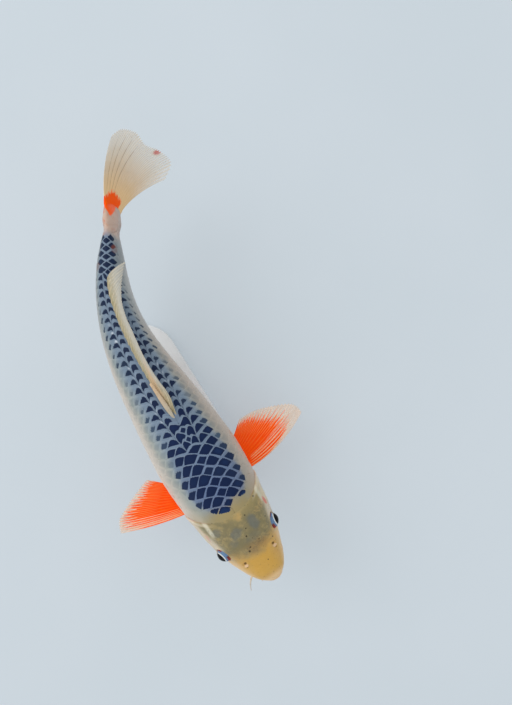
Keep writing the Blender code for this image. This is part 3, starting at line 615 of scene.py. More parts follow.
def skin_material():
    g = Net("koi_skin")
    s, f, side_f = g.split(g.attr("body"))
    t, x, z = g.split(g.attr("head"))
    ring, angle, edge = g.split(g.attr("ring"))
    body = flesh(g, s, f, side_f)
    soft = g.noise(90, 3, 0.55)
    soft_c = g.sub(soft, 0.5)
    big = g.noise(38, 2, 0.5)
    fine = g.noise(420, 2, 0.6)
    ochre = g.mix(g.step(big, 0.35, 0.65), C(200, 160, 86), C(192, 154, 88))
    ochre = g.mix(g.mul(g.step(fine, 0.50, 0.72), 0.25), ochre, C(210, 176, 112))
    olive = g.mix(g.step(g.add(soft, g.mul(g.sub(g.noise(210, 3, 0.65), 0.5), 0.5)), 0.36, 0.64), C(124, 116, 86), C(152, 138, 98))
    tan = g.mix(g.step(g.add(soft, g.mul(g.sub(g.noise(210, 3, 0.65), 0.5), 0.4)), 0.38, 0.62), C(150, 136, 94), C(176, 150, 98))
    # Crown: olive over the brain, tan on the nape and more so to the left.
    tan_share = g.mul(g.step(g.add(t, g.mul(soft_c, 14.0)), 46.0, 55.0), g.step(g.add(x, g.mul(soft_c, 10.0)), -9.0, 1.0))
    crown = g.mix(tan_share, olive, tan)
    nose = g.inv(g.step(g.add(g.add(t, g.mul(soft_c, 16.0)), g.mul(g.math("ABSOLUTE", x), -0.22)), 22.0, 33.0))
    top = g.mix(nose, crown, ochre)
    # Grey-blue patches.
    flat = g.join(t, x, 0.0)
    wob = g.mul(soft_c, 1.5)
    for t0, x0, rt, rx, share in ((45.2, 8.6, 5.0, 3.3, 0.78), (45.0, -5.0, 3.4, 4.4, 0.72), (52.2, -14.5, 3.2, 3.6, 0.62), (41.0, -9.0, 2.6, 3.0, 0.40), (37.0, 3.0, 3.0, 5.5, 0.25)):
        d = g.vec("LENGTH", g.vec("DIVIDE", g.vec("SUBTRACT", flat, (t0, x0, 0)), (rt, rx, 1.0)), (0, 0, 0))
        m = g.mul(g.inv(g.step(g.add(d, wob), 0.55, 1.2)), share)
        top = g.mix(m, top, C(104, 108, 102))
    # Cheeks, gill covers and throat grow pale.
    pale = g.mix(g.step(soft, 0.40, 0.62), C(206, 192, 160), C(198, 186, 166))
    pale = g.mix(g.mul(g.step(g.noise(240, 3, 0.6), 0.52, 0.70), 0.35), pale, C(212, 180, 166))
    throat = C(222, 215, 200)
    sides = g.step(g.add(f, g.mul(soft_c, 0.10)), 0.235, 0.36)
    sides_nose = g.step(g.add(f, g.mul(soft_c, 0.10)), 0.34, 0.52)
    side_share = g.mix(nose, sides, sides_nose)
    lower = g.mix(g.step(f, 0.50, 0.70), pale, throat)
    head = g.mix(side_share, top, lower)
    cream = g.mul(nose, g.high(g.step(g.add(f, g.mul(soft_c, 0.08)), 0.22, 0.40), g.inv(g.step(g.add(t, g.mul(soft_c, 3.0)), 2.5, 8.0))))
    head = g.mix(g.mul(cream, 0.75), head, C(226, 194, 150))
    gold = g.mul(nose, g.mul(g.inv(g.step(g.math("ABSOLUTE", g.add(x, 1.0)), 5.0, 12.0)), g.mul(g.step(t, 6.0, 11.0), g.inv(g.step(t, 22.0, 30.0)))))
    head = g.mix(g.mul(gold, 0.50), head, C(204, 158, 62))
    umber = g.mul(g.inv(g.step(g.math("ABSOLUTE", g.sub(g.add(t, g.mul(soft_c, 9.0)), 31.0)), 1.0, 5.5)), g.inv(g.step(g.math("ABSOLUTE", g.sub(x, 2.5)), 4.0, 10.0)))
    head = g.mix(g.mul(umber, 0.34), head, C(150, 104, 52))
    worms = g.inv(g.step(g.math("ABSOLUTE", g.sub(g.noise(170, 3, 0.6, None, 1.2), 0.5)), 0.015, 0.06))
    where = g.mul(g.mul(g.step(t, 26.0, 32.0), g.inv(g.step(t, 50.0, 58.0))), g.inv(g.step(side_share, 0.2, 0.7)))
    head = g.mix(g.mul(g.mul(worms, where), g.step(soft, 0.42, 0.60, 0.12, 0.42)), head, C(88, 88, 78))
    # Faint ridges of paler skin along the upper edge of each gill cover.
    for side, x0 in ((1.0, 21.2), (-1.0, -17.2)):
        off = g.math("ABSOLUTE", g.sub(x, x0 if side > 0 else x0))
        m = g.mul(g.inv(g.step(off, 0.4, 1.9)), g.mul(g.step(t, 48.0, 54.0), g.inv(g.step(t, 74.0, 84.0))))
        m = g.mul(m, g.step(z, 6.0, 12.0))
        head = g.mix(g.mul(m, 0.75), head, C(206, 202, 180))
    # Lips: a soft pinkish rim, and painted shade along the crease behind the upper lip.
    lip = g.mul(g.inv(g.step(ring, 0.10, 0.42)), g.step(g.add(soft, 0.1), 0.2, 0.5))
    head = g.mix(g.mul(lip, 0.62), head, C(214, 176, 140))
    crease = g.mul(g.inv(g.step(g.math("ABSOLUTE", g.sub(ring, 0.265)), 0.0, 0.035)), 0.42)
    head = g.mix(crease, head, C(134, 104, 52))
    # The mouth's slit: dark red, partly its own colour and partly painted shade in the recess.
    inside = g.inv(g.step(ring, 0.0, 0.035))
    head = g.mix(inside, head, C(120, 60, 52))
    # Specks of pigment on the crown and nose.
    specks = None
    for t0, x0, r in SPECKS:
        d = g.add(g.vec("DISTANCE", flat, (t0, x0, 0)), g.mul(g.sub(fine, 0.5), 0.7))
        m = g.inv(g.step(d, r * 0.55, r * 1.5))
        specks = m if specks is None else g.high(specks, m)
    specks = g.mul(specks, g.mul(g.step(z, 3.0, 6.0), 0.92))
    head = g.mix(specks, head, C(46, 38, 30))
    peppered = g.mul(g.mul(g.step(g.noise(620, 1, 0.5), 0.66, 0.74), g.inv(side_share)), 0.30)
    head = g.mix(peppered, head, C(96, 84, 58))
    # Red at the upper end of the left gill slit, and a fainter one on the right.
    for t0, x0, share in ((49.5, 22.0, 0.80), (51.0, -21.0, 0.30)):
        d = g.vec("LENGTH", g.vec("DIVIDE", g.vec("SUBTRACT", flat, (t0, x0, 0)), (3.6, 0.9, 1.0)), (0, 0, 0))
        head = g.mix(g.mul(g.inv(g.step(g.add(d, wob), 0.5, 1.25)), share), head, C(206, 92, 80))
    # Nostrils: painted shade in the hollows, pink skin between.
    for side in (1.0, -1.0):
        sx = g.mul(x, side)
        here = g.join(t, sx, 0.0)
        up = g.step(z, 3.0, 5.0)
        d = g.vec("DISTANCE", here, (NOSTRIL[0] - 1.9, NOSTRIL[1] + 0.2, 0))
        head = g.mix(g.mul(g.mul(g.inv(g.step(d, 0.7, 1.7)), up), 0.7), head, C(222, 190, 164))
        d = g.vec("DISTANCE", here, (NOSTRIL[0], NOSTRIL[1], 0))
        head = g.mix(g.mul(g.mul(g.inv(g.step(d, 0.45, 1.15)), up), 0.85), head, C(86, 68, 44))
        d = g.vec("DISTANCE", here, (NOSTRIL[0] - 3.6, NOSTRIL[1] + 0.4, 0))
        head = g.mix(g.mul(g.mul(g.inv(g.step(d, 0.2, 0.75)), up), 0.7), head, C(120, 92, 60))
    # Darker skin round the eyes.
    for side in (1.0, -1.0):
        e = head_mm(EYES["left" if side > 0 else "right"][1])
        d = g.vec("DISTANCE", g.attr("head"), tuple(float(v) for v in e))
        head = g.mix(g.mul(g.inv(g.step(d, 4.6, 6.0)), 0.55), head, C(112, 74, 50))
    # The gill cover's thin border is paler, and the slit behind it dark and red: the red is the gill's own, the
    # darkness painted shade under the cover's edge.
    on_side = g.mul(g.step(f, 0.16, 0.26), g.inv(g.step(f, 0.86, 0.94)))
    behind_eye = g.step(t, 40.0, 46.0)
    m = g.mul(g.mul(g.inv(g.step(g.math("ABSOLUTE", g.add(edge, 1.6)), 0.3, 1.6)), on_side), behind_eye)
    head = g.mix(g.mul(m, 0.45), head, C(222, 208, 186))
    m = g.mul(g.mul(g.inv(g.step(g.math("ABSOLUTE", g.sub(edge, 0.35)), 0.1, 0.7)), on_side), behind_eye)
    to_body = g.step(edge, -0.6, 1.2)
    colour = g.mix(to_body, head, body)
    colour = g.mix(g.mul(m, 0.55), colour, C(150, 92, 76))
    g.set(Base_Color=colour)
    g.set(Roughness=g.step(fine, 0.3, 0.7, 0.30, 0.42))
    g.bsdf.inputs["Subsurface Weight"].default_value = 0.10
    g.bsdf.inputs["Subsurface Radius"].default_value = (0.0022, 0.0012, 0.0007)
    g.bsdf.inputs["Subsurface Scale"].default_value = 1.0
    g.bsdf.inputs["Specular IOR Level"].default_value = 0.12
    pores = g.math("MULTIPLY", g.step(g.cells(650), 0.0, 0.35), 1.0)
    b = g.bump(pores, 0.12, 0.0003)
    b = g.bump(g.noise(260, 3, 0.6), 0.22, 0.0006, b)
    # Fine lines that fan back over the gill cover.
    lines = g.math("SINE", g.mul(g.add(angle, g.mul(soft, 0.12)), 150.0))
    fan = g.mul(g.mul(lines, on_side), g.mul(behind_eye, g.inv(to_body)))
    b = g.bump(fan, 0.10, 0.0003, b)
    g.set(Normal=b)
    return g.m


# ---------------------------------------------------------------- scales
MID = 1.6  # the row along the back runs this far to the left of the section's highest point, in mm, as the photo's does
pitch = curve_through((0.20, 0.33, 0.42, 0.60, 0.72, 0.95, 1.02), (0.0270, 0.0300, 0.0238, 0.0240, 0.0205, 0.0192, 0.0180))
row_gap = curve_through((0.20, 0.30, 0.42, 0.60, 0.80, 0.95, 1.0), (6.2, 6.35, 6.5, 6.2, 5.2, 4.5, 4.4))
dark_reach = curve_through((0.22, 0.25, 0.30, 0.36, 0.42, 0.50, 0.60, 0.70, 0.80, 0.88, 0.93, 0.97), (14, 16.5, 19, 18.5, 16, 14.5, 13.5, 13, 9.5, 5.5, 4.8, 4.5))
# The dark field's ragged front over the nape: its station at each distance to the left of the middle row.
nape = curve_through((-24, -18, -16, -12, -8, -3, 1, 4.5, 8, 12, 16, 19, 24), (0.32, 0.268, 0.258, 0.243, 0.2335, 0.2265, 0.2345, 0.2440, 0.2405, 0.2405, 0.2546, 0.270, 0.32))


# How far the rows move out round the dorsal fin's root, and where the narrow row that slips in there runs, in mm.
parted = curve_through((0.20, 0.365, 0.398, 0.418, 0.439, 0.46, 0.60, 0.66, 0.72, 0.80, 0.87, 1.0), (0, 0, 1.75, 3.0, 4.3, 4.7, 5.2, 4.4, 3.4, 2.0, 0, 0))
slip_in = curve_through((0.40, 0.413, 0.436, 0.459, 0.481, 0.507, 0.53, 0.60, 0.66, 0.72, 0.80, 0.87), (2.6, 2.75, 3.5, 4.1, 4.8, 5.6, 5.9, 5.4, 4.7, 3.6, 3.0, 2.5))


def row_at(j, s):
    """Distance of row j from the middle row. Row 0.5 is the narrow row beside the dorsal fin."""
    if j == 0:
        return np.zeros_like(s)
    if j == 0.5:
        return slip_in(s)
    first = 0.84  # the first row stands nearer the middle one
    return row_gap(s) * (j - 1 + first) + parted(s)


PHASE = {0: 0.246, 0.5: 0.4095, 1: 0.2335, 2: 0.2405, 3: 0.2460}
# The rows aren't quite half staggered over the shoulders, so the scales there are skewed: inner share, outer share.
SKEW = {1: (0.0, 0.20), 2: (0.20, 0.33), 3: (0.33, 0.15), 4: (0.15, 0.0)}


def reach_to(j, s):
    """Distances from row j to the rows inside and outside it at station s, in mm."""
    narrow = 0.398 < s < 0.868
    y = lambda k: float(row_at(k, np.array(s)))
    if j == 0:
        r = y(0.5) if narrow else y(1)
        return r, r
    # The narrow row and the first one lie side by side, not staggered, so each reaches half way.
    if j == 0.5:
        return y(0.5), 0.5 * (y(1) - y(0.5)) + 0.1
    if j == 1:
        return (0.5 * (y(1) - y(0.5)) + 0.1 if narrow else y(1)), y(2) - y(1)
    return y(j) - y(j - 1), y(j + 1) - y(j)


def scale_list():
    found = []
    for side in (1, -1):
        for j in (0, 0.5, *range(1, 17)):
            if j == 0 and side < 0:
                continue
            s = PHASE.get(j, 0.2557 if j % 2 == 0 else 0.2419)
            while s < 1.000:
                p = float(pitch(s))
                o = float(row_at(j, np.array(s)))
                g = float(row_gap(s))
                ok = o < half_round(s) - 0.15 * g
                if j == 0:
                    ok = ok and not (0.462 < s < 0.858)
                if j == 0.5:
                    ok = 0.405 < s < 0.862
                x, z = section(np.array(s), theta_at(np.array(s), np.array(side * o)))
                front = arc_edge(np.array(s), np.array(z))
                if front < 0.5 or (o < 24 and s < 0.226):
                    ok = False
                if ok:
                    found.append((j, side, s, o, p, *reach_to(j, s)))
                s += p
    return found


def make_scales():
    found = scale_list()
    na, nb = 11, 13
    a = np.linspace(-1, 1, na)
    b = 1 - (1 - np.linspace(0, 1, nb)) ** 1.35
    aa, bb = np.meshgrid(a, b, indexing="ij")
    aa, bb = aa.ravel(), bb.ravel()
    j = np.array([r[0] for r in found])
    side = np.array([r[1] for r in found], float)
    s0 = np.array([r[2] for r in found])
    o0 = np.array([r[3] for r in found])
    P = np.array([r[4] for r in found]) * SL * 1000
    Qi, Qo = np.array([r[5] for r in found]), np.array([r[6] for r in found])
    n = len(found)
    rnd = rng.random(n)
    rnd2 = rng.random(n)
    tip = 1 + 0.09 * (rnd - 0.5)
    L = 1.85 * P
    abreast_in = (j == 1) & (s0 > 0.398) & (s0 < 0.868)
    abreast_out = j == 0.5
    round_in = np.where(abreast_in, 2.4, np.where(j < 1, 1.12, 1.32))
    round_out = np.where(abreast_out, 2.4, np.where(j < 1, 1.12, 1.32))
    skew = np.array([SKEW.get(k, (0.0, 0.0)) for k in j]) * (1 - smooth(0.55, 0.80, s0))[:, None]

    def edge_of(k, p):
        """How far forward of its tip scale k's free edge lies at p to its outer side, in mm."""
        q_ = np.where(p < 0, Qi[k], Qo[k])
        return P[k] * (0.5 * (np.abs(p) / q_) ** np.where(p < 0, round_in[k], round_out[k]) + np.where(p < 0, skew[k, 0], skew[k, 1]) * p / q_)

    wide = 1.03 * np.where(aa[None] < 0, Qi[:, None], Qo[:, None])
    neck = np.where(aa[None] < 0, np.where(abreast_in, 0.90, 0.62)[:, None], np.where(abreast_out, 0.90, 0.62)[:, None])
    p = aa[None] * wide * (neck + (1 - neck) * smooth(0.0, 0.62, bb)[None])
    # A broad scale with a softly pointed free edge, so that its neighbours leave a rhombus of it bare.
    q_end = np.stack([L[k] - edge_of(k, p[k]) for k in range(n)]) + ((tip - 1) * P)[:, None]
    q = bb[None] * q_end
    s = s0[:, None] + (q - (L - 0.50 * P)[:, None]) / (SL * 1000)
    s = np.clip(s, 0.1, 1.035)
    # The rows follow their own lines; the middle row is shared by both sides.
    o = np.zeros_like(s)
    for key in np.unique(j):
        m = j == key
        o[m] = row_at(key, s[m])
    sway = MID * (1 - smooth(0.80, 0.93, s))
    arc = sway + side[:, None] * (o + p)
    theta = theta_at(s, arc)
    at, normal = surface(s, theta)
    at = at - normal * (waist(s) / 1000)[..., None]
    skin_depth = COAT * (1 - smooth(0.972, 0.992, s))
    lift = 0.30 + 0.70 * (1 - smooth(0.955, 0.99, s0))[:, None]
    H = 0.72 * lift
    share = q / L[:, None]
    top = -skin_depth + H * share * (0.94 + 0.12 * rnd2[:, None])
    top += 0.13 * lift * (1 - aa[None] ** 2) * np.sin(np.pi * np.clip(bb, 0, 1) ** 0.8)[None]
    roll = smooth(0.86, 1.0, bb)[None] * 0.10 + smooth(0.8, 1.0, np.abs(aa))[None] * 0.05
    thick = 0.20 - 0.06 * smooth(0.5, 1.0, bb)[None]
    p_top = at + normal * ((top - roll) / 1000)[..., None]
    p_low = at + normal * ((top - roll - thick) / 1000)[..., None]
    # Distances to the bare part's borders: back to the scale's own edge, and forward to those of the scales that lie on it.
    dr = q_end - q
    tip_s = s0 + 0.50 * P / (SL * 1000)
    y0 = side * np.array([float(row_at(key, np.array(v))) for key, v in zip(j, s0)])
    df = q - (L - 1.25 * P)[:, None]
    crowd = np.maximum(df, 0.03) ** -3.0
    for i in range(n):
        dp = side[i] * (y0 - y0[i])
        ds = (tip_s - tip_s[i]) * SL * 1000
        near = np.where((np.abs(dp) < 2.2 * max(Qi[i], Qo[i])) & (ds < -0.02 * P[i]) & (ds > -1.6 * P[i]))[0]
        for k in near:
            if j[k] == j[i] and side[k] == side[i] and ds[k] > -0.5 * P[i]:
                continue
            u = (p[i] - dp[k]) * side[i] * side[k]
            over = L[i] + ds[k] - edge_of(k, u)
            covers = (u > -1.03 * Qi[k]) & (u < 1.03 * Qo[k])
            gap = np.where(covers, q[i] - over, 9.0)
            df[i] = np.minimum(df[i], gap)
            crowd[i] += np.maximum(gap, 0.03) ** -3.0
    df = np.where(df > 0.03, crowd ** (-1 / 3), df)
    dist = np.abs(y0)
    reach = dark_reach(s0)
    dark = 1 - smooth(reach - 3.8, reach + 6.0, dist + 2.2 * (rnd - 0.5))
    dark *= 1 - smooth(0.948, 0.960, s0)
    dark *= 1 - 0.28 * smooth(0.42, 0.60, s0) * (dist > 7) * (0.4 + rnd2)
    dark = np.clip(dark * (0.90 + 0.20 * rnd), 0, 1)
    slant = np.select([j == 0, j == 0.5, j == 1, j == 2, j == 3], [0.0, 0.0, 0.0, 0.10, 0.18], 0.25)
    along = smooth(0.39, 0.48, s0)
    rear = smooth(0.76, 0.86, s0)
    # How much of each scale's bare part stays light behind its dark mark, besides the thin margin, in mm.
    light = np.select([j == 0, j == 0.5, j == 1, j == 2, j == 3], [0.7 * (s0 < 0.40) + 0.1, 0.2 + 1.0 * smooth(0.45, 0.49, s0) - 0.7 * rear, 0.10 + 1.2 * along - 0.8 * rear, 0.15 + 1.3 * along, 1.5 + 0.8 * along], 2.2)
    light = light * (0.75 + 0.5 * rnd2)
    inner_side = np.select([abreast_in, abreast_out & (s0 > 0.470)], [Qi, 2.35 + 0 * Qi], 99.0)[:, None]
    outer_side = np.where(abreast_out, Qo, 99.0)[:, None]
    beside = np.minimum(inner_side + p, outer_side - p) * 1.1 - 0.15
    back = dr - light[:, None]
    both_ways = (np.maximum(back, 0.03) ** -3.0 + np.maximum(beside, 0.03) ** -3.0) ** (-1 / 3)
    dr_cut = np.where(np.minimum(back, beside) > 0.03, both_ways, np.minimum(back, beside)) - slant[:, None] * np.maximum(p - 0.1 * Qo[:, None], 0)
    df = df - (0.75 * ((abreast_in | abreast_out) & (s0 > 0.40)))[:, None] * (1 - (p / wide / 1.0) ** 2)
    y = side[:, None] * (o + p)
    wash = (1 - smooth(dark_reach(s) - 4.5, dark_reach(s) + 5.0, np.abs(y))) * (1 - smooth(0.945, 0.962, s))
    before = (s - nape(y)) * SL * 1000
    rust = 1.3 * np.exp(-(((s - 0.922) / 0.011) ** 2) - ((y - 6.5) / 3.4) ** 2) + 1.3 * np.exp(-(((s - 0.880) / 0.011) ** 2) - ((y + 10.5) / 5.0) ** 2)
    spots = (y < 0) * np.exp(-(((np.abs(y) - 7.9) / 0.8) ** 2)) * smooth(0.44, 0.50, s) * (1 - smooth(0.70, 0.76, s)) + 0.7 * (y > 0) * np.exp(-(((np.abs(y) - 8.1) / 1.1) ** 2)) * smooth(0.52, 0.56, s) * (1 - smooth(0.62, 0.68, s))
    glint = spots * (rnd > 0.35)[:, None] * smooth(-2.6, -1.6, q - L[:, None]) * (1 - smooth(-0.6, -0.1, q - L[:, None]))
    f = np.clip(np.abs(arc) / half_round(s), 0, 1)
    ones = np.ones_like(s)
    A = {
        "cell": np.stack([df, dr_cut, rnd[:, None] * ones], -1),
        "plate": np.stack([p, q - L[:, None], dark[:, None] * ones], -1),
        "body": np.stack([s, f, side[:, None] * f], -1),
        "tone": np.stack([rust, glint, (j == 6)[:, None] * ones], -1),
        "wash": np.stack([wash, ones, ones], -1),
        "rim": np.stack([dr, before, rnd2[:, None] * ones], -1),
    }
    # Faces of one scale: top, underside and the rim between.
    ntop = na * nb
    top_f = grid_faces(na, nb)
    low_f = grid_faces(na, nb, ntop, flip=True)
    ring = [i * nb for i in range(na)] + [(na - 1) * nb + k for k in range(1, nb)] + [i * nb + nb - 1 for i in range(na - 2, -1, -1)] + [k for k in range(nb - 2, 0, -1)]
    ring = np.array(ring)
    nxt = np.roll(ring, -1)
    rim_f = np.stack([ring, ring + ntop, nxt + ntop, nxt], 1)
    one = np.concatenate([top_f, low_f, rim_f])
    # Winding: the top must face out.
    test = np.stack([p_top[0][q_] for q_ in top_f[len(top_f) // 2]])
    out_is = np.dot(np.cross(test[1] - test[0], test[2] - test[0]), normal[0][len(aa) // 2])
    right_hand = out_is > 0
    # Bake map: each scale's own cell on the unwrap of the skin, with the underside in a strip beside it.
    ua, ub = (aa + 1) / 2, bb
    groups = {"back_left": (side > 0) & (o0 <= 26), "flank_left": (side > 0) & (o0 > 26), "back_right": (side < 0) & (o0 <= 26), "flank_right": (side < 0) & (o0 > 26)}
    made = []
    mat = scale_material()
    for name, chosen in groups.items():
        idx = np.where(chosen)[0]
        if not len(idx):
            continue
        lo_o, hi_o = o0[idx].min() - 3.6, o0[idx].max() + 3.6
        lo_s, hi_s = s0[idx].min() - 0.016, s0[idx].max() + 0.016
        pts, fcs, uvs, att = [], [], [], {k: [] for k in A}
        for count, k in enumerate(idx):
            pts.append(p_top[k])
            pts.append(p_low[k])
            mirrored = (side[k] < 0) == right_hand if side[0] > 0 else False
            quads = one[:, ::-1] if mirrored else one
            fcs.append(quads + count * 2 * ntop)
            cu = (s0[k] - lo_s) / (hi_s - lo_s)
            cv = (o0[k] - lo_o) / (hi_o - lo_o)
            wu = 0.47 * P[k] / (SL * 1000) / (hi_s - lo_s)
            vi, vo = 0.48 * Qi[k] / (hi_o - lo_o), 0.48 * Qo[k] / (hi_o - lo_o)
            tu, tv = cu + (ub * 1.84 - 0.92) * wu, cv - 0.92 * vi + ua * (0.92 * vi + 0.86 * vo)
            lu, lv = tu, cv + (0.90 + 0.07 * ua) * vo
            uv_all = np.stack([np.concatenate([tu, lu]), np.concatenate([tv, lv])], 1)
            uvs.append(uv_all[quads].reshape(-1, 2))
            for key, value in A.items():
                att[key].append(value[k])
                att[key].append(value[k])
        obj = piece("scales_" + name, np.concatenate(pts), np.concatenate(fcs), np.concatenate(uvs), mat,
                    {k: np.concatenate(v) for k, v in att.items()})
        made.append(obj)
    print("SCALES", n, [(o.name, len(o.data.polygons) * 2) for o in made])
    return made


def scale_material():
    g = Net("koi_scales")
    df, dr, rnd = g.split(g.attr("cell"))
    p, q, dark = g.split(g.attr("plate"))
    s, f, side_f = g.split(g.attr("body"))
    rust, glint, canal = g.split(g.attr("tone"))
    rim, rim_at, rnd2 = g.split(g.attr("rim"))
    base = flesh(g, s, f, side_f)
    here = g.join(g.mul(p, 1.5), g.mul(q, 0.55), g.mul(rnd, 37.0))
    rag = g.sub(g.noise(0.95, 2, 0.6, here), 0.5)
    rag2 = g.sub(g.noise(2.6, 2, 0.6, here), 0.5)
    field = g.step(g.add(rim_at, g.mul(rag, 2.2)), -0.5, 0.5)
    dark = g.mul(dark, field)
    # The net: the light free margins of the scales, bluest and darkest over the shoulders.
    net = g.mix(g.step(s, 0.27, 0.46), C(84, 102, 138), C(106, 123, 142))
    net = g.mix(g.mul(glint, 0.70), net, C(228, 234, 242))
    wash, _, _ = g.split(g.attr("wash"))
    base = g.mix(g.mul(g.mul(g.step(wash, 0.10, 0.95), g.step(rim_at, -0.5, 5.0)), 0.80), base, net)
    loose = g.inv(dark)
    margin = g.add(0.22, g.mul(loose, 1.2))
    cut = g.add(g.sub(dr, margin), g.add(g.mul(rag, g.add(1.1, g.mul(loose, 3.2))), g.mul(rag2, g.add(0.7, g.mul(loose, 1.6)))))
    cut = g.high(cut, 0.0001)
    lead = g.high(g.add(g.sub(df, 0.05), g.mul(rag2, 0.5)), 0.0001)
    # A rounded cell: the two distances joined so that the side corners are blunt.
    inner = g.math("DIVIDE", g.mul(cut, lead), g.add(cut, lead))
    mask = g.mul(g.step(inner, 0.06, 0.30), g.step(dark, 0.06, 0.34))
    navy = g.mix(g.step(g.add(dark, g.mul(g.sub(rnd, 0.5), 0.25)), 0.20, 0.90), C(66, 84, 104), C(11, 29, 64))
    navy = g.mix(g.mul(g.step(s, 0.42, 0.60), 0.55), navy, C(18, 33, 54))
    heart = g.mul(g.step(inner, 0.5, 1.6), g.add(0.06, g.mul(g.step(rnd2, 0.3, 1.0), 0.34)))
    navy = g.mix(heart, navy, C(30, 58, 104))
    faint = g.mul(g.mul(g.step(g.sub(rim, 1.0), -0.3, 1.2), g.step(df, 0.0, 1.0)), g.mul(g.mul(g.inv(g.step(f, 0.16, 0.36)), 0.34), g.step(rim_at, 0.0, 2.0)))
    faint = g.mul(faint, g.inv(g.step(s, 0.945, 0.965)))
    base = g.mix(faint, base, C(92, 104, 116))
    colour = g.mix(mask, base, navy)
    stain = g.step(g.add(rust, g.mul(rag2, 0.5)), 0.30, 0.75)
    colour = g.mix(g.mul(stain, g.add(0.34, g.mul(mask, 0.45))), colour, C(112, 58, 46))
    # Silvery free margin and, low on the flank, a faint painted shadow line in front of the next scale.
    line = g.mul(g.mul(g.inv(g.step(rim, 0.1, 0.75)), g.step(rim_at, 0.0, 2.0)), g.add(0.06, g.mul(g.step(f, 0.35, 0.6), 0.16)))
    colour = g.mix(line, colour, C(218, 219, 212))
    painted_edge_shadow = g.mul(g.inv(g.step(df, -0.2, 0.55)), g.mul(g.step(f, 0.30, 0.50), 0.22))
    colour = g.mix(painted_edge_shadow, colour, C(128, 128, 118))
    # Lateral line: one short dark tube on each scale of its row.
    tube = g.mul(g.inv(g.step(g.math("ABSOLUTE", p), 0.22, 0.55)), g.mul(g.step(q, -4.6, -3.9), g.inv(g.step(q, -1.8, -1.1))))
    tube = g.mul(tube, canal)
    colour = g.mix(g.mul(tube, 0.6), colour, C(112, 108, 98))
    g.set(Base_Color=colour)
    g.set(Roughness=g.step(g.noise(500, 2, 0.6), 0.3, 0.7, 0.30, 0.44))
    g.bsdf.inputs["Specular IOR Level"].default_value = 0.11
    # Growth lines that follow the free edge, and rays that fan to it.
    rings = g.math("SINE", g.add(g.mul(rim, 15.0), g.mul(rag2, 3.0)))
    rays = g.math("SINE", g.math("DIVIDE", g.mul(p, 26.0), g.add(g.math("ABSOLUTE", g.add(q, 14.0)), 1.0)))
    b = g.bump(rings, 0.10, 0.00015)
    b = g.bump(rays, 0.06, 0.00015, b)
    b = g.bump(g.noise(300, 2, 0.5), 0.12, 0.0004, b)
    b = g.bump(tube, 0.5, 0.0004, b)
    g.set(Normal=b)
    return g.m


# ---------------------------------------------------------------- fins, on the same rays as the CAD fins
def mix(keys, u):
    return curve_through([k[0] for k in keys], [k[1] for k in keys])(u)


def direction(s, tailward, leftward, upward):
    _, tail, left, up = frame_at(s)
    return tail * tailward + left * leftward + up * upward


def fin_grid(base, start, end, length, us, steps):
    """Points of a fin: rays that leave base(u) along start(u) and turn evenly to end(u) over length(u)."""
    grid = np.zeros((len(us), steps, 3))
    v = np.linspace(0, 1, steps)
    for i, u in enumerate(us):
        d0, d1 = unit(start(u)), unit(end(u))
        d = unit(d0[None] * (1 - v[:, None]) + d1[None] * v[:, None])
        walk = np.concatenate([[np.zeros(3)], np.cumsum((d[1:] + d[:-1]) / 2, axis=0)])
        grid[i] = base(u) + walk * length(u) / (steps - 1)
    return grid


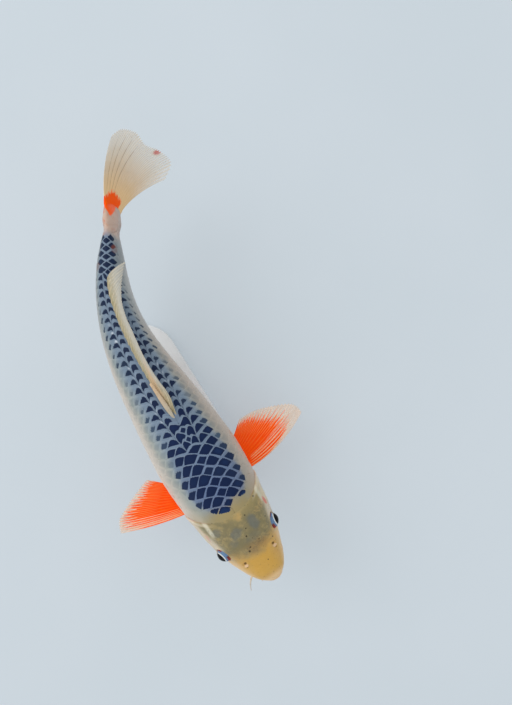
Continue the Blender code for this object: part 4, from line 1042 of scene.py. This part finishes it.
def fin_piece(name, node, grid_of, rays, mat, paint, steps=64, per_ray=12, root=1.1, rod=0.62, web=0.22, wave=0.35, branch=True, sink=0.0):
    """A fin as one closed leaf. grid_of(us, steps) gives the points, paint(u, v, ray) the vector (orange, opacity, spot)."""
    nu = (rays - 1) * per_ray + 1
    us = np.linspace(0, 1, nu)
    grid = grid_of(us, steps)
    v = np.linspace(0, 1, steps)
    uu, vv = np.meshgrid(us, v, indexing="ij")
    phase = uu * (rays - 1)
    near = np.abs(phase - np.round(phase))  # 0 on a ray, 0.5 between two
    one = np.exp(-((near / 0.17) ** 2))
    if branch:
        p2 = phase * 2 + 0.5
        n2 = np.abs(p2 - np.round(p2))
        two = np.exp(-((n2 / 0.24) ** 2))
        split = smooth(0.38, 0.60, vv)
        ridge = one * (1 - split) + two * split
    else:
        ridge = one
    # The web between the rays ends a little short of their tips.
    n = np.zeros_like(grid)
    n = unit(np.cross(np.gradient(grid, axis=0), np.gradient(grid, axis=1)))
    pull = (1 - ridge) * smooth(0.80, 1.0, vv) ** 2 * 0.0011
    along = unit(np.gradient(grid, axis=1))
    grid = grid - along * pull[..., None]
    ripple = wave * vv**1.3 * (np.sin(phase * 1.9 + 5 * vv) * 0.6 + np.sin(phase * 0.8 + 1.3) * 0.4) / 1000
    grid = grid + n * ripple[..., None]
    body_in = root * (1 - smooth(0.0, 0.20, vv))
    thick = web + (rod * (1 - 0.62 * vv)) * ridge + body_in
    rimmed = 1 - 0.75 * smooth(0.965, 1.0, vv)
    lateral = np.minimum(uu, 1 - uu) * (rays - 1)
    thick = thick * rimmed * (0.35 + 0.65 * smooth(0.0, 0.35, lateral))
    half = (thick / 2000)[..., None]
    top, low = grid + n * half, grid - n * half
    pts = np.concatenate([top.reshape(-1, 3), low.reshape(-1, 3)])
    m = nu * steps
    f_top, f_low = grid_faces(nu, steps), grid_faces(nu, steps, m, flip=True)
    ring = [i * steps for i in range(nu)] + [(nu - 1) * steps + k for k in range(1, steps)] + [i * steps + steps - 1 for i in range(nu - 2, -1, -1)] + [k for k in range(steps - 2, 0, -1)]
    ring = np.array(ring)
    nxt = np.roll(ring, -1)
    rim = np.stack([ring, ring + m, nxt + m, nxt], 1)
    faces = np.concatenate([f_top, f_low, rim])
    flat_u = np.stack([0.01 + 0.48 * uu.ravel(), 0.01 + 0.98 * vv.ravel()], 1)
    flat_l = np.stack([0.51 + 0.48 * uu.ravel(), 0.01 + 0.98 * vv.ravel()], 1)
    uv = np.concatenate([flat_u, flat_l])
    corner = uv[faces]
    # The rim's own sliver, so that it doesn't stretch across the map.
    corner[len(f_top) + len(f_low):, 1:3] = corner[len(f_top) + len(f_low):, [0, 3]]
    orange, opacity, spot = paint(uu, vv, phase)
    both = lambda a: np.concatenate([a.reshape(-1), a.reshape(-1)])
    attrs = {
        "fin": np.stack([both(phase), both(vv), both(ridge)], 1),
        "paint": np.stack([both(np.broadcast_to(orange, uu.shape)), both(np.broadcast_to(opacity, uu.shape)), both(np.broadcast_to(spot, uu.shape))], 1),
    }
    return piece(name, pts, faces[:, ::-1], corner[:, ::-1].reshape(-1, 2), mat, attrs, (node,))


def fin_material(name, near, far, deep, root_colour, spot_colour, streak=0.35, dark_rays=False):
    """near and far are the fin's plain colours at the root and the tip, deep the painted colour."""
    g = Net(name)
    phase, v, ridge = g.split(g.attr("fin"))
    orange, opacity, spot = g.split(g.attr("paint"))
    lines = g.join(g.mul(phase, 2.2), g.mul(v, 5.0), 0.0)
    grain = g.noise(1.6, 3, 0.65, lines)
    fine = g.noise(700, 2, 0.6)
    plain = g.mix(g.step(v, 0.10, 0.85), near, far)
    plain = g.mix(g.mul(g.step(grain, 0.40, 0.66), 0.30), plain, root_colour)
    # Segmented rays: light rods with faint joints, and a darker line along each side.
    joints = g.math("SINE", g.mul(v, 190.0))
    rod = g.mul(g.step(ridge, 0.35, 0.9), g.add(0.24, g.mul(g.step(joints, 0.6, 1.0), 0.10)))
    plain = g.mix(rod, plain, C(226, 206, 176))
    flank = g.mul(g.mul(g.step(ridge, 0.08, 0.30), g.inv(g.step(ridge, 0.30, 0.62))), 0.24)
    plain = g.mix(flank, plain, C(176, 142, 104))
    if dark_rays:
        u_lines = g.math("SINE", g.mul(phase, 2 * math.pi / 2.0))
        where = g.mul(g.mul(g.step(phase, 1.5, 3.0), g.inv(g.step(phase, 8.5, 11.0))), g.mul(g.step(v, 0.14, 0.26), g.inv(g.step(v, 0.78, 0.97))))
        plain = g.mix(g.mul(g.mul(g.step(u_lines, 0.72, 0.97), where), g.mul(g.step(grain, 0.25, 0.55), 0.50)), plain, C(138, 104, 70))
    ragged = g.add(orange, g.mul(g.sub(grain, 0.5), streak))
    cover = g.step(ragged, 0.30, 0.62)
    rich = g.mix(g.step(g.add(grain, g.mul(ridge, 0.2)), 0.35, 0.8), deep[0], deep[1])
    rich = g.mix(g.mul(flank, 0.9), rich, deep[2])
    # Paler orange in the web between the rays: partly its own tone, partly painted light shining through the thin web.
    pale_lit_web = g.mul(g.mul(g.inv(g.step(ridge, 0.05, 0.45)), g.step(g.add(v, g.mul(g.sub(grain, 0.5), 0.5)), 0.30, 0.80)), 0.55)
    rich = g.mix(pale_lit_web, rich, C(255, 158, 92))
    colour = g.mix(cover, plain, rich)
    colour = g.mix(g.step(spot, 0.3, 0.8), colour, spot_colour)
    g.set(Base_Color=colour)
    alpha = g.math("ADD", g.mul(opacity, g.add(0.86, g.mul(grain, 0.24))), g.add(g.mul(g.mul(ridge, g.inv(opacity)), 0.30), g.mul(cover, 0.5)), clamp=True)
    g.set(Alpha=alpha)
    g.set(Roughness=g.step(fine, 0.3, 0.7, 0.36, 0.50))
    g.bsdf.inputs["Specular IOR Level"].default_value = 0.07
    b = g.bump(g.mul(ridge, 1.0), 0.25, 0.0003)
    b = g.bump(joints, 0.06, 0.0001, b)
    b = g.bump(grain, 0.10, 0.0003, b)
    g.set(Normal=b)
    return g.m


def fins():
    orange_deep = (C(255, 88, 0), C(255, 66, 0), C(226, 46, 0))
    pect = fin_material("pectoral_skin", C(246, 166, 100), C(232, 214, 196), orange_deep, C(238, 170, 110), C(220, 60, 30), 0.55)
    caud = fin_material("caudal_skin", C(234, 196, 142), C(230, 220, 202), (C(255, 98, 0), C(255, 78, 0), C(226, 56, 0)), C(238, 208, 164), C(216, 128, 116), 0.28, True)
    dors = fin_material("dorsal_skin", C(152, 142, 108), C(168, 170, 164), (C(196, 166, 130), C(186, 156, 122), C(150, 124, 92)), C(196, 194, 182), C(160, 168, 174), 0.4)
    low = fin_material("lower_fin_skin", C(236, 150, 84), C(220, 200, 172), orange_deep, C(232, 176, 122), C(220, 60, 30), 0.5)

    # Dorsal fin.
    DORSAL = (0.475, 0.838)
    REACH = ((0, 0.030), (0.12, 0.031), (0.5, 0.022), (0.85, 0.015), (1, 0.0125))
    SIDE = ((0, 0.0078), (0.12, 0.0082), (0.3, 0.0045), (0.42, 0.0036), (0.6, 0.0078), (0.8, 0.0102), (1, 0.0118))
    RISE = ((0, 0.0068), (0.12, 0.0080), (0.45, 0.0078), (0.75, 0.0068), (1, 0.0052))

    FALL = curve_through((0.470, 0.482, 0.50, 0.52, 0.54, 0.56, 0.60, 0.64, 0.70, 0.74, 0.78, 0.82, 0.86, 0.89), (2.4, 4.0, 5.4, 6.5, 6.3, 5.4, 4.8, 5.0, 6.0, 6.3, 7.2, 9.3, 11.8, 13.8))

    def dorsal_grid(us, steps):
        v = np.linspace(0, 1, steps)
        rows = []
        for u in us:
            s = DORSAL[0] - 0.003 + (DORSAL[1] - DORSAL[0] + 0.003) * u + v * float(mix(REACH, u)) / SL
            root = section(s, 0.0)[1] - 0.0013 * (1 - smooth(0, 0.25, v))
            across = v ** (0.35 + 0.55 * float(smooth(0, 0.16, u)) + 0.9 * float(smooth(0.78, 1.0, u)))
            start = 0.0027 * (1 - float(smooth(0, 0.10, u)))
            rows.append(place(s, start * (1 - across) + FALL(s) / 1000 * across, root + float(mix(RISE, u)) * v**0.85 * (1 - 0.25 * v)))
        return np.stack(rows)

    def dorsal_paint(u, v, ray):
        warm = 0.62 * np.exp(-(((u - 0.16) / 0.16) ** 2)) * (1 - 0.5 * v)
        opacity = 0.98 - 0.35 * smooth(0.60, 1.0, v) * smooth(0.45, 0.95, u) - 0.06 * smooth(0.7, 1.0, v)
        blue = 0.50 * smooth(0.45, 0.80, u) * smooth(0.30, 0.75, v) * (0.5 + 0.5 * np.sin(ray * 2 * math.pi))
        return warm, opacity, blue

    fin_piece("dorsal_leaf", "dorsal_fin", dorsal_grid, 21, dors, dorsal_paint, steps=44, per_ray=10, root=0.8, rod=0.45, web=0.20, wave=0.10)

    # Anal fin.
    ANAL = (0.752, 0.830)
    ANAL_RAY = ((0, 0.030), (0.15, 0.035), (0.6, 0.024), (1, 0.017))

    def anal_base(u):
        s = ANAL[0] + (ANAL[1] - ANAL[0]) * u
        _, z = section(s, math.pi)
        return place(s, 0.0, z + 0.0015)

    def anal_grid(us, steps):
        return fin_grid(anal_base, lambda u: direction(0.79, 0.62 + 0.25 * u, 0.0, -0.80 + 0.25 * u),
                        lambda u: direction(0.79, 0.88, 0.10, -0.42 + 0.12 * u), lambda u: float(mix(ANAL_RAY, u)), us, steps)

    jag = lambda ray, k: 0.5 + 0.5 * np.sin(ray * 12.9898 + k) * np.cos(ray * 4.1414 + 2 * k)

    def low_paint(u, v, ray):
        reach = 0.70 - 0.25 * u + 0.22 * (jag(ray, 1.0) - 0.5)
        return 1.0 - smooth(reach - 0.22, reach + 0.22, v), 0.95 - 0.45 * smooth(0.55, 1.0, v), np.zeros_like(v)

    fin_piece("anal_leaf", "anal_fin", anal_grid, 9, low, low_paint, steps=44, per_ray=14, wave=0.3)

    # Tail fin.
    CAUDAL_AT = 1.035
    RAY = ((0, 0.0425), (0.12, 0.0468), (0.32, 0.0480), (0.5, 0.0450), (0.68, 0.0490), (0.88, 0.0530), (1, 0.0430))
    RISE0, RISE1 = ((0, 33.0), (0.5, 1.0), (1, -33.0)), ((0, 14.0), (0.5, 0.0), (1, -14.0))
    SWEEP0, SWEEP1 = ((0, -2.0), (0.5, 6.0), (1, 18.0)), ((0, 22.0), (0.5, 46.0), (1, 64.0))

    def caudal_base(u):
        top, bottom = section(CAUDAL_AT, 0.0)[1], section(CAUDAL_AT, math.pi)[1]
        z = (top - 0.0006) * (1 - u) + (bottom + 0.0006) * u
        return place(CAUDAL_AT + 0.010 * (1 - (2 * u - 1) ** 2) - 0.010, 0.0, z)

    def caudal_way(u, rise, sweep):
        e, y = np.radians(mix(rise, u)), np.radians(mix(sweep, u))
        return direction(1.0, math.cos(e) * math.cos(y), math.cos(e) * math.sin(y), math.sin(e))

    def caudal_grid(us, steps):
        return fin_grid(caudal_base, lambda u: caudal_way(u, RISE0, SWEEP0), lambda u: caudal_way(u, RISE1, SWEEP1), lambda u: float(mix(RAY, u)) + 0.0013, us, steps)

    def caudal_paint(u, v, ray):
        reach = 0.115 + 0.055 * np.exp(-(((u - 0.43) / 0.25) ** 2)) + 0.075 * (jag(ray, 0.4) - 0.5)
        orange = 1.0 - smooth(reach - 0.02, reach + 0.03, v)
        orange = orange * (1 - smooth(0.70, 0.78, u - 0.6 * v))
        ochre = 0.22 * (1 - smooth(0.25, 0.75, v))
        opacity = 0.97 - 0.26 * smooth(0.20, 0.60, v) - 0.44 * smooth(0.50, 1.0, v) - 0.14 * smooth(0.45, 0.75, u) * smooth(0.2, 0.5, v)
        spot = 1.0 * np.exp(-(((u - 0.70) / 0.042) ** 2) - ((v - 0.965) / 0.060) ** 2)
        opacity = np.clip(opacity + 0.5 * spot, 0, 1)
        return np.maximum(orange, ochre), opacity, spot

    fin_piece("caudal_leaf", "caudal_fin", caudal_grid, 20, caud, caudal_paint, steps=96, per_ray=14, root=2.0, rod=0.60, web=0.22, wave=0.25)

    # Pectoral fins.
    PECTORAL_ROUND = 141.0
    PECTORAL = {
        "left": {"side": 1, "root": (0.262, 0.316), "ray": ((0, 0.0665), (0.25, 0.0635), (0.5, 0.0500), (0.75, 0.0385), (1, 0.0275)),
                 "sweep": ((0, 9.5), (0.25, 13.5), (0.5, 23.0), (0.75, 31.0), (1, 37.0)), "bow": ((0, 22.0), (0.25, 9.0), (1, 3.0)),
                 "orange": ((0, 0.40), (0.1, 0.74), (0.35, 0.80), (0.6, 0.84), (0.82, 0.88), (1, 0.86))},
        "right": {"side": -1, "root": (0.242, 0.302), "ray": ((0, 0.0585), (0.25, 0.0560), (0.5, 0.0465), (0.75, 0.0370), (1, 0.0290)),
                  "sweep": ((0, 14.0), (0.25, 18.0), (0.5, 25.5), (0.75, 34.0), (1, 43.0)), "bow": ((0, 10.0), (0.25, 6.0), (1, 3.0)),
                  "orange": ((0, 0.84), (0.12, 0.90), (0.42, 0.93), (0.7, 0.88), (0.82, 0.92), (1, 0.90))},
    }
    for label, pf in PECTORAL.items():
        side = pf["side"]

        def base(u, side=side, pf=pf):
            s = pf["root"][0] + (pf["root"][1] - pf["root"][0]) * u
            x, z = section(s, math.radians(PECTORAL_ROUND))
            return place(s, side * (x - 0.0015), z + 0.0010)

        def way(u, turn, droop, side=side, pf=pf):
            a, d = np.radians(mix(pf["sweep"], u) + turn * mix(pf["bow"], u)), np.radians(droop)
            return direction(0.27, math.sin(a) * math.cos(d), side * math.cos(a) * math.cos(d), math.sin(d))

        def grid_of(us, steps, base=base, way=way, pf=pf):
            return fin_grid(base, lambda u: way(u, -1, -17 + 8 * u), lambda u: way(u, 1, 5 - 6 * u), lambda u: float(mix(pf["ray"], u)), us, steps)

        def paint(u, v, ray, pf=pf, side=side):
            reach = mix(pf["orange"], u) + 0.22 * (jag(ray, 2.0 + side) - 0.5) + 0.05 * np.sin(ray * 31.0)
            orange = 1.0 - smooth(reach - 0.10, reach + 0.05, v)
            front = 1 - smooth(0.0, 0.14, u)
            orange = orange * (1 - 0.45 * front)
            lead_streaks = smooth(0.01, 0.06, u) * (1 - smooth(0.20, 0.34, u)) * smooth(0.10, 0.28, v) * smooth(0.40, 0.60, jag(ray, 5.0 + side))
            orange = orange * (1 - 0.66 * lead_streaks)
            opacity = 0.97 - 0.62 * smooth(reach - 0.04, reach + 0.08, v)
            return orange, opacity, np.zeros_like(v)

        fin_piece("pectoral_leaf_" + label, "pectoral_fin_" + label, grid_of, 16, pect, paint, steps=80, per_ray=14, root=1.3, rod=0.55, web=0.20, wave=0.45)

    # Pelvic fins.
    AT, END = (0.492, 158.0), (0.512, 168.0)
    PELVIC_RAY = ((0, 0.0350), (0.15, 0.0395), (0.6, 0.0310), (1, 0.0220))
    for side, label in ((1, "left"), (-1, "right")):

        def base(u, side=side):
            s = AT[0] + (END[0] - AT[0]) * u
            x, z = section(s, math.radians(AT[1] + (END[1] - AT[1]) * u))
            return place(s, side * x, z + 0.0015)

        def grid_of(us, steps, base=base, side=side):
            return fin_grid(base, lambda u: direction(0.5, 0.80 + 0.1 * u, side * (0.34 - 0.30 * u), -0.50 + 0.02 * u),
                            lambda u: direction(0.5, 0.93, side * (0.24 - 0.14 * u), -0.22 - 0.02 * u), lambda u: float(mix(PELVIC_RAY, u)), us, steps)

        fin_piece("pelvic_leaf_" + label, "pelvic_fin_" + label, grid_of, 10, low, low_paint, steps=52, per_ray=12, wave=0.3)


# ---------------------------------------------------------------- round tapered pieces: dorsal spine, barbels, nostril flaps
def tube(name, points, radii, mat, slot, nodes, flatten=1.0, sides=20, up=None):
    """A round piece along points with a rounded tip, closed at both ends."""
    points, radii = np.asarray(points, float), np.asarray(radii, float)
    d = unit(np.gradient(points, axis=0))
    ref = np.array([0, 0, 1.0]) if up is None else np.asarray(up, float)
    a = unit(np.cross(d, ref))
    b = np.cross(a, d)
    th = np.linspace(0, 2 * math.pi, sides, endpoint=False)
    rings = points[:, None] + radii[:, None, None] * (np.cos(th)[None, :, None] * a[:, None] + flatten * np.sin(th)[None, :, None] * b[:, None])
    n = len(points)
    pts = np.concatenate([rings.reshape(-1, 3), points[:1] - d[:1] * radii[0] * 0.3, points[-1:] + d[-1:] * radii[-1] * 0.7])
    faces, uvs = [], []
    for i in range(n - 1):
        for k in range(sides):
            m = (k + 1) % sides
            faces.append([i * sides + k, i * sides + m, (i + 1) * sides + m, (i + 1) * sides + k])
            uvs += [(0.05 + 0.9 * i / (n - 1), k / sides), (0.05 + 0.9 * i / (n - 1), (k + 1) / sides), (0.05 + 0.9 * (i + 1) / (n - 1), (k + 1) / sides), (0.05 + 0.9 * (i + 1) / (n - 1), k / sides)]
    for k in range(sides):
        m = (k + 1) % sides
        faces.append([m, k, n * sides])
        uvs += [(0.05, (k + 1) / sides), (0.05, k / sides), (0.01, (k + 0.5) / sides)]
        faces.append([(n - 1) * sides + k, (n - 1) * sides + m, n * sides + 1])
        uvs += [(0.95, k / sides), (0.95, (k + 1) / sides), (0.99, (k + 0.5) / sides)]
    share = np.concatenate([np.repeat(np.linspace(0, 1, n), sides), [0, 1]])
    return piece(name, pts, faces, np.array(uvs), mat, {"along": np.stack([share, share, share], 1)}, nodes)


def soft_rod_material(name, near, far, dark, rings=90.0):
    g = Net(name)
    v, _, _ = g.split(g.attr("along"))
    n = g.noise(600, 3, 0.6)
    colour = g.mix(g.step(v, 0.0, 1.0), near, far)
    colour = g.mix(g.mul(g.step(n, 0.50, 0.66), 0.5), colour, dark)
    g.set(Base_Color=colour)
    g.set(Roughness=g.step(n, 0.3, 0.7, 0.34, 0.46))
    b = g.bump(g.math("SINE", g.mul(v, rings)), 0.12, 0.0002)
    b = g.bump(n, 0.2, 0.0003, b)
    g.set(Normal=b)
    return g.m


def small_parts():
    feeler = soft_rod_material("barbel_skin", C(206, 184, 150), C(190, 186, 180), C(168, 150, 126))
    spine_mat = soft_rod_material("spine_skin", C(164, 160, 144), C(192, 164, 130), C(158, 138, 110), 60.0)
    spine_v = np.linspace(0, 1, 30)
    spine_s = 0.475 - 0.007 + spine_v * 0.027 / SL
    line = place(spine_s, 0.0010 - 0.0010 * spine_v, section(spine_s, 0.0)[1] - 0.0012 + 0.0058 * spine_v**0.8)
    spread = 0.00060 + 0.00085 * smooth(0.0, 0.35, spine_v) * (1 - 0.72 * smooth(0.45, 1.0, spine_v))
    tube("dorsal_front_ray", line, spread, spine_mat, "cream_fin", ("dorsal_spine",), flatten=0.38)
    barbels = {
        "rear_left": (1, 0.040, 118.0, 0.0150, (-0.30, 0.20, -0.90), (-0.40, 0.00, -0.90), 0.00070),
        "rear_right": (-1, 0.040, 118.0, 0.0165, (-0.35, 0.75, -0.45), (-0.86, 0.30, -0.42), 0.00070),
        "front_left": (1, 0.020, 108.0, 0.0070, (-0.45, 0.35, -0.75), (-0.30, 0.10, -0.95), 0.00060),
        "front_right": (-1, 0.020, 104.0, 0.0062, (-0.55, 0.40, -0.50), (-0.40, 0.15, -0.90), 0.00050),
    }
    for label, (side, at_s, angle, length, d0, d1, radius) in barbels.items():
        x, z = section(at_s, math.radians(angle))
        root = place(at_s, side * (x - 0.0014), z)
        way = [direction(at_s, d[0], side * d[1], d[2]) for d in (d0, d1)]
        line = fin_grid(lambda u: root, lambda u: way[0], lambda u: way[1], lambda u: length, [0.0], 28)[0]
        tube("barbel_skin_" + label, line, np.linspace(radius * 1.15, 0.00030, 28), feeler, "cream_fin", ("barbel_" + label,))
    # Nostril flaps: a little collar that stands up in front of each hollow.
    flap = soft_rod_material("nostril_skin", C(212, 178, 134), C(220, 190, 152), C(186, 140, 96), 30.0)
    for side, label in ((1, "left"), (-1, "right")):
        around = np.radians(np.linspace(-105, 105, 22))
        t = NOSTRIL[0] - 1.2 - 1.35 * np.cos(around)
        x = side * (NOSTRIL[1] + 0.2 + 1.35 * np.sin(around))
        pts = []
        for ti, xi in zip(t, x):
            pts.append(skin_top(ti, xi))
        pts = np.array(pts)
        lift = 0.10 + 0.42 * np.cos(around / 1.25) ** 2
        pts = pts + HEAD_U * (lift / 1000)[:, None] + HEAD_T * (0.45 * lift / 1000)[:, None]
        tube("nostril_flap_" + label, pts, 0.00012 + 0.00034 * np.cos(around / 1.25) ** 2, flap, "head_skin", (), sides=12)


def skin_top(t, x):
    """The point of the true surface over (t, x) in head coordinates, by steps down the section."""
    s = t / (SL * 1000)
    for _ in range(12):
        th = np.linspace(-1.5, 1.5, 241)
        p = place(np.full(241, s), *section(np.full(241, s), th))
        h = head_mm(p)
        k = int(np.argmin(np.abs(h[:, 1] - x)))
        s += (t - h[k, 0]) / (SL * 1000) * 0.9
    return p[k]


# ---------------------------------------------------------------- eyes
def eye_material():
    g = Net("eye_iris")
    c, up, fore = g.split(g.attr("gaze"))  # angle from the pupil's axis in degrees, dorsal share, forward share
    n = g.noise(900, 3, 0.6)
    wob = g.mul(g.sub(n, 0.5), 3.0)
    a = g.add(c, wob)
    # The iris is blue-grey on its upper side: partly its own colour, partly a painted reflection of the bright room
    # above.
    iris = g.mix(g.step(up, -0.2, 0.5), C(150, 118, 62), C(96, 128, 164))
    iris = g.mix(g.mul(g.step(g.noise(1500, 2, 0.6), 0.45, 0.65), 0.5), iris, C(92, 84, 66))
    # Painted highlight: a white band along the upper edge of the pupil, partly the iris's own sheen.
    iris = g.mix(g.mul(g.mul(g.inv(g.step(a, 45.0, 49.0)), g.step(up, 0.1, 0.6)), 0.9), iris, C(222, 230, 240))
    rim = g.mul(g.step(a, 54.0, 62.0), g.step(g.add(g.math("ABSOLUTE", g.add(fore, 0.18)), g.mul(g.step(up, 0.75, 0.2), 0.6)), 0.30, 0.60))
    iris = g.mix(rim, iris, g.mix(g.step(g.math("ABSOLUTE", fore), 0.2, 0.8), C(96, 58, 54), C(132, 44, 38)))
    ring = g.mul(g.step(a, 40.0, 41.5), g.inv(g.step(a, 43.0, 45.0)))
    iris = g.mix(g.mul(ring, 0.7), iris, C(206, 196, 160))
    colour = g.mix(g.step(c, 39.0, 41.0), C(5, 5, 7), iris)
    g.set(Base_Color=colour)
    g.set(Roughness=g.step(n, 0.3, 0.7, 0.05, 0.09))
    g.bsdf.inputs["Specular IOR Level"].default_value = 0.08
    g.bsdf.inputs["Coat Weight"].default_value = 0.04
    g.bsdf.inputs["Coat Roughness"].default_value = 0.03
    g.set(Normal=g.bump(g.mul(n, g.step(c, 26.0, 30.0)), 0.04, 0.0001))
    return g.m


def make_eyes():
    mat = eye_material()
    for label, (side, at, axis) in EYES.items():
        nu, nv = 72, 44
        upv = unit(HEAD_U - axis * (HEAD_U @ axis))
        fwd = np.cross(upv, axis)
        if fwd @ HEAD_T > 0:
            fwd = -fwd
        psi = np.linspace(0, math.pi, nv)
        phi = np.linspace(0, 2 * math.pi, nu, endpoint=False)
        pts, gaze = [], []
        for p in psi:
            # The cornea bulges a little over the pupil.
            r = EYE_R * (0.985 + 0.045 * math.exp(-((p / 0.55) ** 2)))
            for f in phi:
                d = axis * math.cos(p) + (upv * math.cos(f) + fwd * math.sin(f)) * math.sin(p)
                pts.append(at + d * r)
                gaze.append((math.degrees(p), math.cos(f), math.sin(f)))
        faces, uvs = [], []
        for i in range(nv - 1):
            for k in range(nu):
                m = (k + 1) % nu
                quad = [i * nu + k, (i + 1) * nu + k, (i + 1) * nu + m, i * nu + m]
                if i == 0:
                    quad = [quad[0], quad[1], quad[2]]
                if i == nv - 2:
                    quad = [quad[0], quad[1], quad[3]]
                faces.append(quad)
                for v in quad:
                    ii, kk = divmod(v, nu)
                    ang, rad = phi[kk], 0.49 * psi[ii] / math.pi
                    uvs.append((0.5 + rad * math.cos(ang), 0.5 + rad * math.sin(ang)))
        pts = np.array(pts)
        # Poles share one point each.
        tri = np.array(faces[0])
        n = np.cross(pts[faces[nu * 3][1]] - pts[faces[nu * 3][0]], pts[faces[nu * 3][2]] - pts[faces[nu * 3][0]])
        if n @ (pts[faces[nu * 3][0]] - at) < 0:
            out_f, out_uv, c = [], [], 0
            for face in faces:
                block = uvs[c:c + len(face)]
                c += len(face)
                out_f.append(face[::-1])
                out_uv += block[::-1]
            faces, uvs = out_f, out_uv
        piece("eyeball_" + label, pts, faces, np.array(uvs), mat, {"gaze": gaze}, ("eye_" + label,))


# ---------------------------------------------------------------- stand, from the CAD nodes
def stand_materials():
    g = Net("stand_lacquer")
    n = g.noise(35, 4, 0.6)
    f = g.noise(900, 2, 0.6)
    g.set(Base_Color=g.mix(g.step(n, 0.3, 0.7), C(206, 210, 212), C(214, 217, 219)))
    g.set(Roughness=g.step(n, 0.3, 0.7, 0.30, 0.42))
    g.set(Normal=g.bump(f, 0.05, 0.0002))
    white = g.m
    g = Net("stand_brushed_steel")
    x, y, z = g.split(g.coords)
    brushed = g.noise(60, 3, 0.7, g.join(g.mul(x, 2.0), g.mul(y, 2.0), g.mul(z, 60.0)))
    g.set(Base_Color=g.mix(g.step(brushed, 0.3, 0.7), (0.56, 0.57, 0.58, 1), (0.66, 0.67, 0.68, 1)))
    g.set(Roughness=g.step(brushed, 0.3, 0.7, 0.22, 0.36))
    g.bsdf.inputs["Metallic"].default_value = 1.0
    g.set(Normal=g.bump(brushed, 0.08, 0.0001))
    steel = g.m
    for node, mat in (("stand_base", white), ("stand_rod_front", steel), ("stand_rod_rear", steel)):
        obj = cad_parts[node]
        if obj.material_slots:
            for k in range(len(obj.material_slots)):
                obj.material_slots[k].material = mat
        else:
            obj.data.materials.append(mat)


# ---------------------------------------------------------------- everything
skin_points, skin_faces, skin_uvs, skin_attrs = make_skin()
piece("koi_skin", skin_points, skin_faces, skin_uvs, skin_material(), skin_attrs,
      ("head", "trunk", "tail_stem", "gill_cover_left", "gill_cover_right"))
make_scales()
fins()
small_parts()
make_eyes()
stand_materials()

# ---------------------------------------------------------------- floor, light and camera
floor_net = Net("floor_plain")
n = floor_net.noise(6, 3, 0.5)
floor_net.set(Base_Color=floor_net.mix(floor_net.step(n, 0.3, 0.7), C(202, 213, 221, 0.54), C(206, 216, 224, 0.54)))
floor_net.set(Roughness=0.85)
# A lit floor, so that the shadows stay as faint as over a pale pool floor.
floor_net.bsdf.inputs["Emission Color"].default_value = C(204, 215, 223)
floor_net.bsdf.inputs["Emission Strength"].default_value = 0.36
floor_mesh = bpy.data.meshes.new("studio_floor")
floor_mesh.from_pydata([(-6, -6, 0), (6, -6, 0), (6, 6, 0), (-6, 6, 0)], [], [(0, 1, 2, 3)])
floor_mesh.materials.append(floor_net.m)
floor = bpy.data.objects.new("studio_floor", floor_mesh)
bpy.context.scene.collection.objects.link(floor)

world = bpy.data.worlds.new("studio")
world.use_nodes = True
# The room is brighter on the side of the fish's right flank.
tree = world.node_tree
way = tree.nodes.new("ShaderNodeVectorMath")
way.operation = "DOT_PRODUCT"
way.inputs[1].default_value = (-0.26, 0.10, 0.06)
tree.links.new(tree.nodes.new("ShaderNodeTexCoord").outputs["Generated"], way.inputs[0])
level = tree.nodes.new("ShaderNodeMath")
level.operation = "ADD"
level.inputs[1].default_value = 0.98
tree.links.new(way.outputs["Value"], level.inputs[0])
tree.links.new(level.outputs[0], tree.nodes["Background"].inputs["Strength"])
tree.nodes["Background"].inputs["Color"].default_value = (1.0, 1.0, 1.0, 1)
bpy.context.scene.world = world


def area(name, at, aim, size, power, colour=(1, 1, 1)):
    data = bpy.data.lights.new(name, "AREA")
    data.shape, data.size, data.energy, data.color = "DISK", size, power, colour
    obj = bpy.data.objects.new(name, data)
    obj.location = at
    obj.rotation_euler = (Vector(aim) - Vector(at)).to_track_quat("-Z", "Y").to_euler()
    bpy.context.scene.collection.objects.link(obj)
    return obj


area("key", (-0.85, 0.45, 1.20), (0, 0, 0.05), 0.90, 4.0, (1.0, 0.99, 0.97))

CAMERA_HEIGHT = 0.5375
cam_data = bpy.data.cameras.new("camera")
cam_data.sensor_fit, cam_data.sensor_width, cam_data.lens = "AUTO", 36.0, 36.0 * 700 / 705
cam_data.clip_start = 0.01
camera = bpy.data.objects.new("camera", cam_data)
camera.location = (0.03947, 0.01070, CAMERA_HEIGHT)
bpy.context.scene.collection.objects.link(camera)
bpy.context.scene.camera = camera
bpy.context.scene.view_settings.view_transform = "Standard"
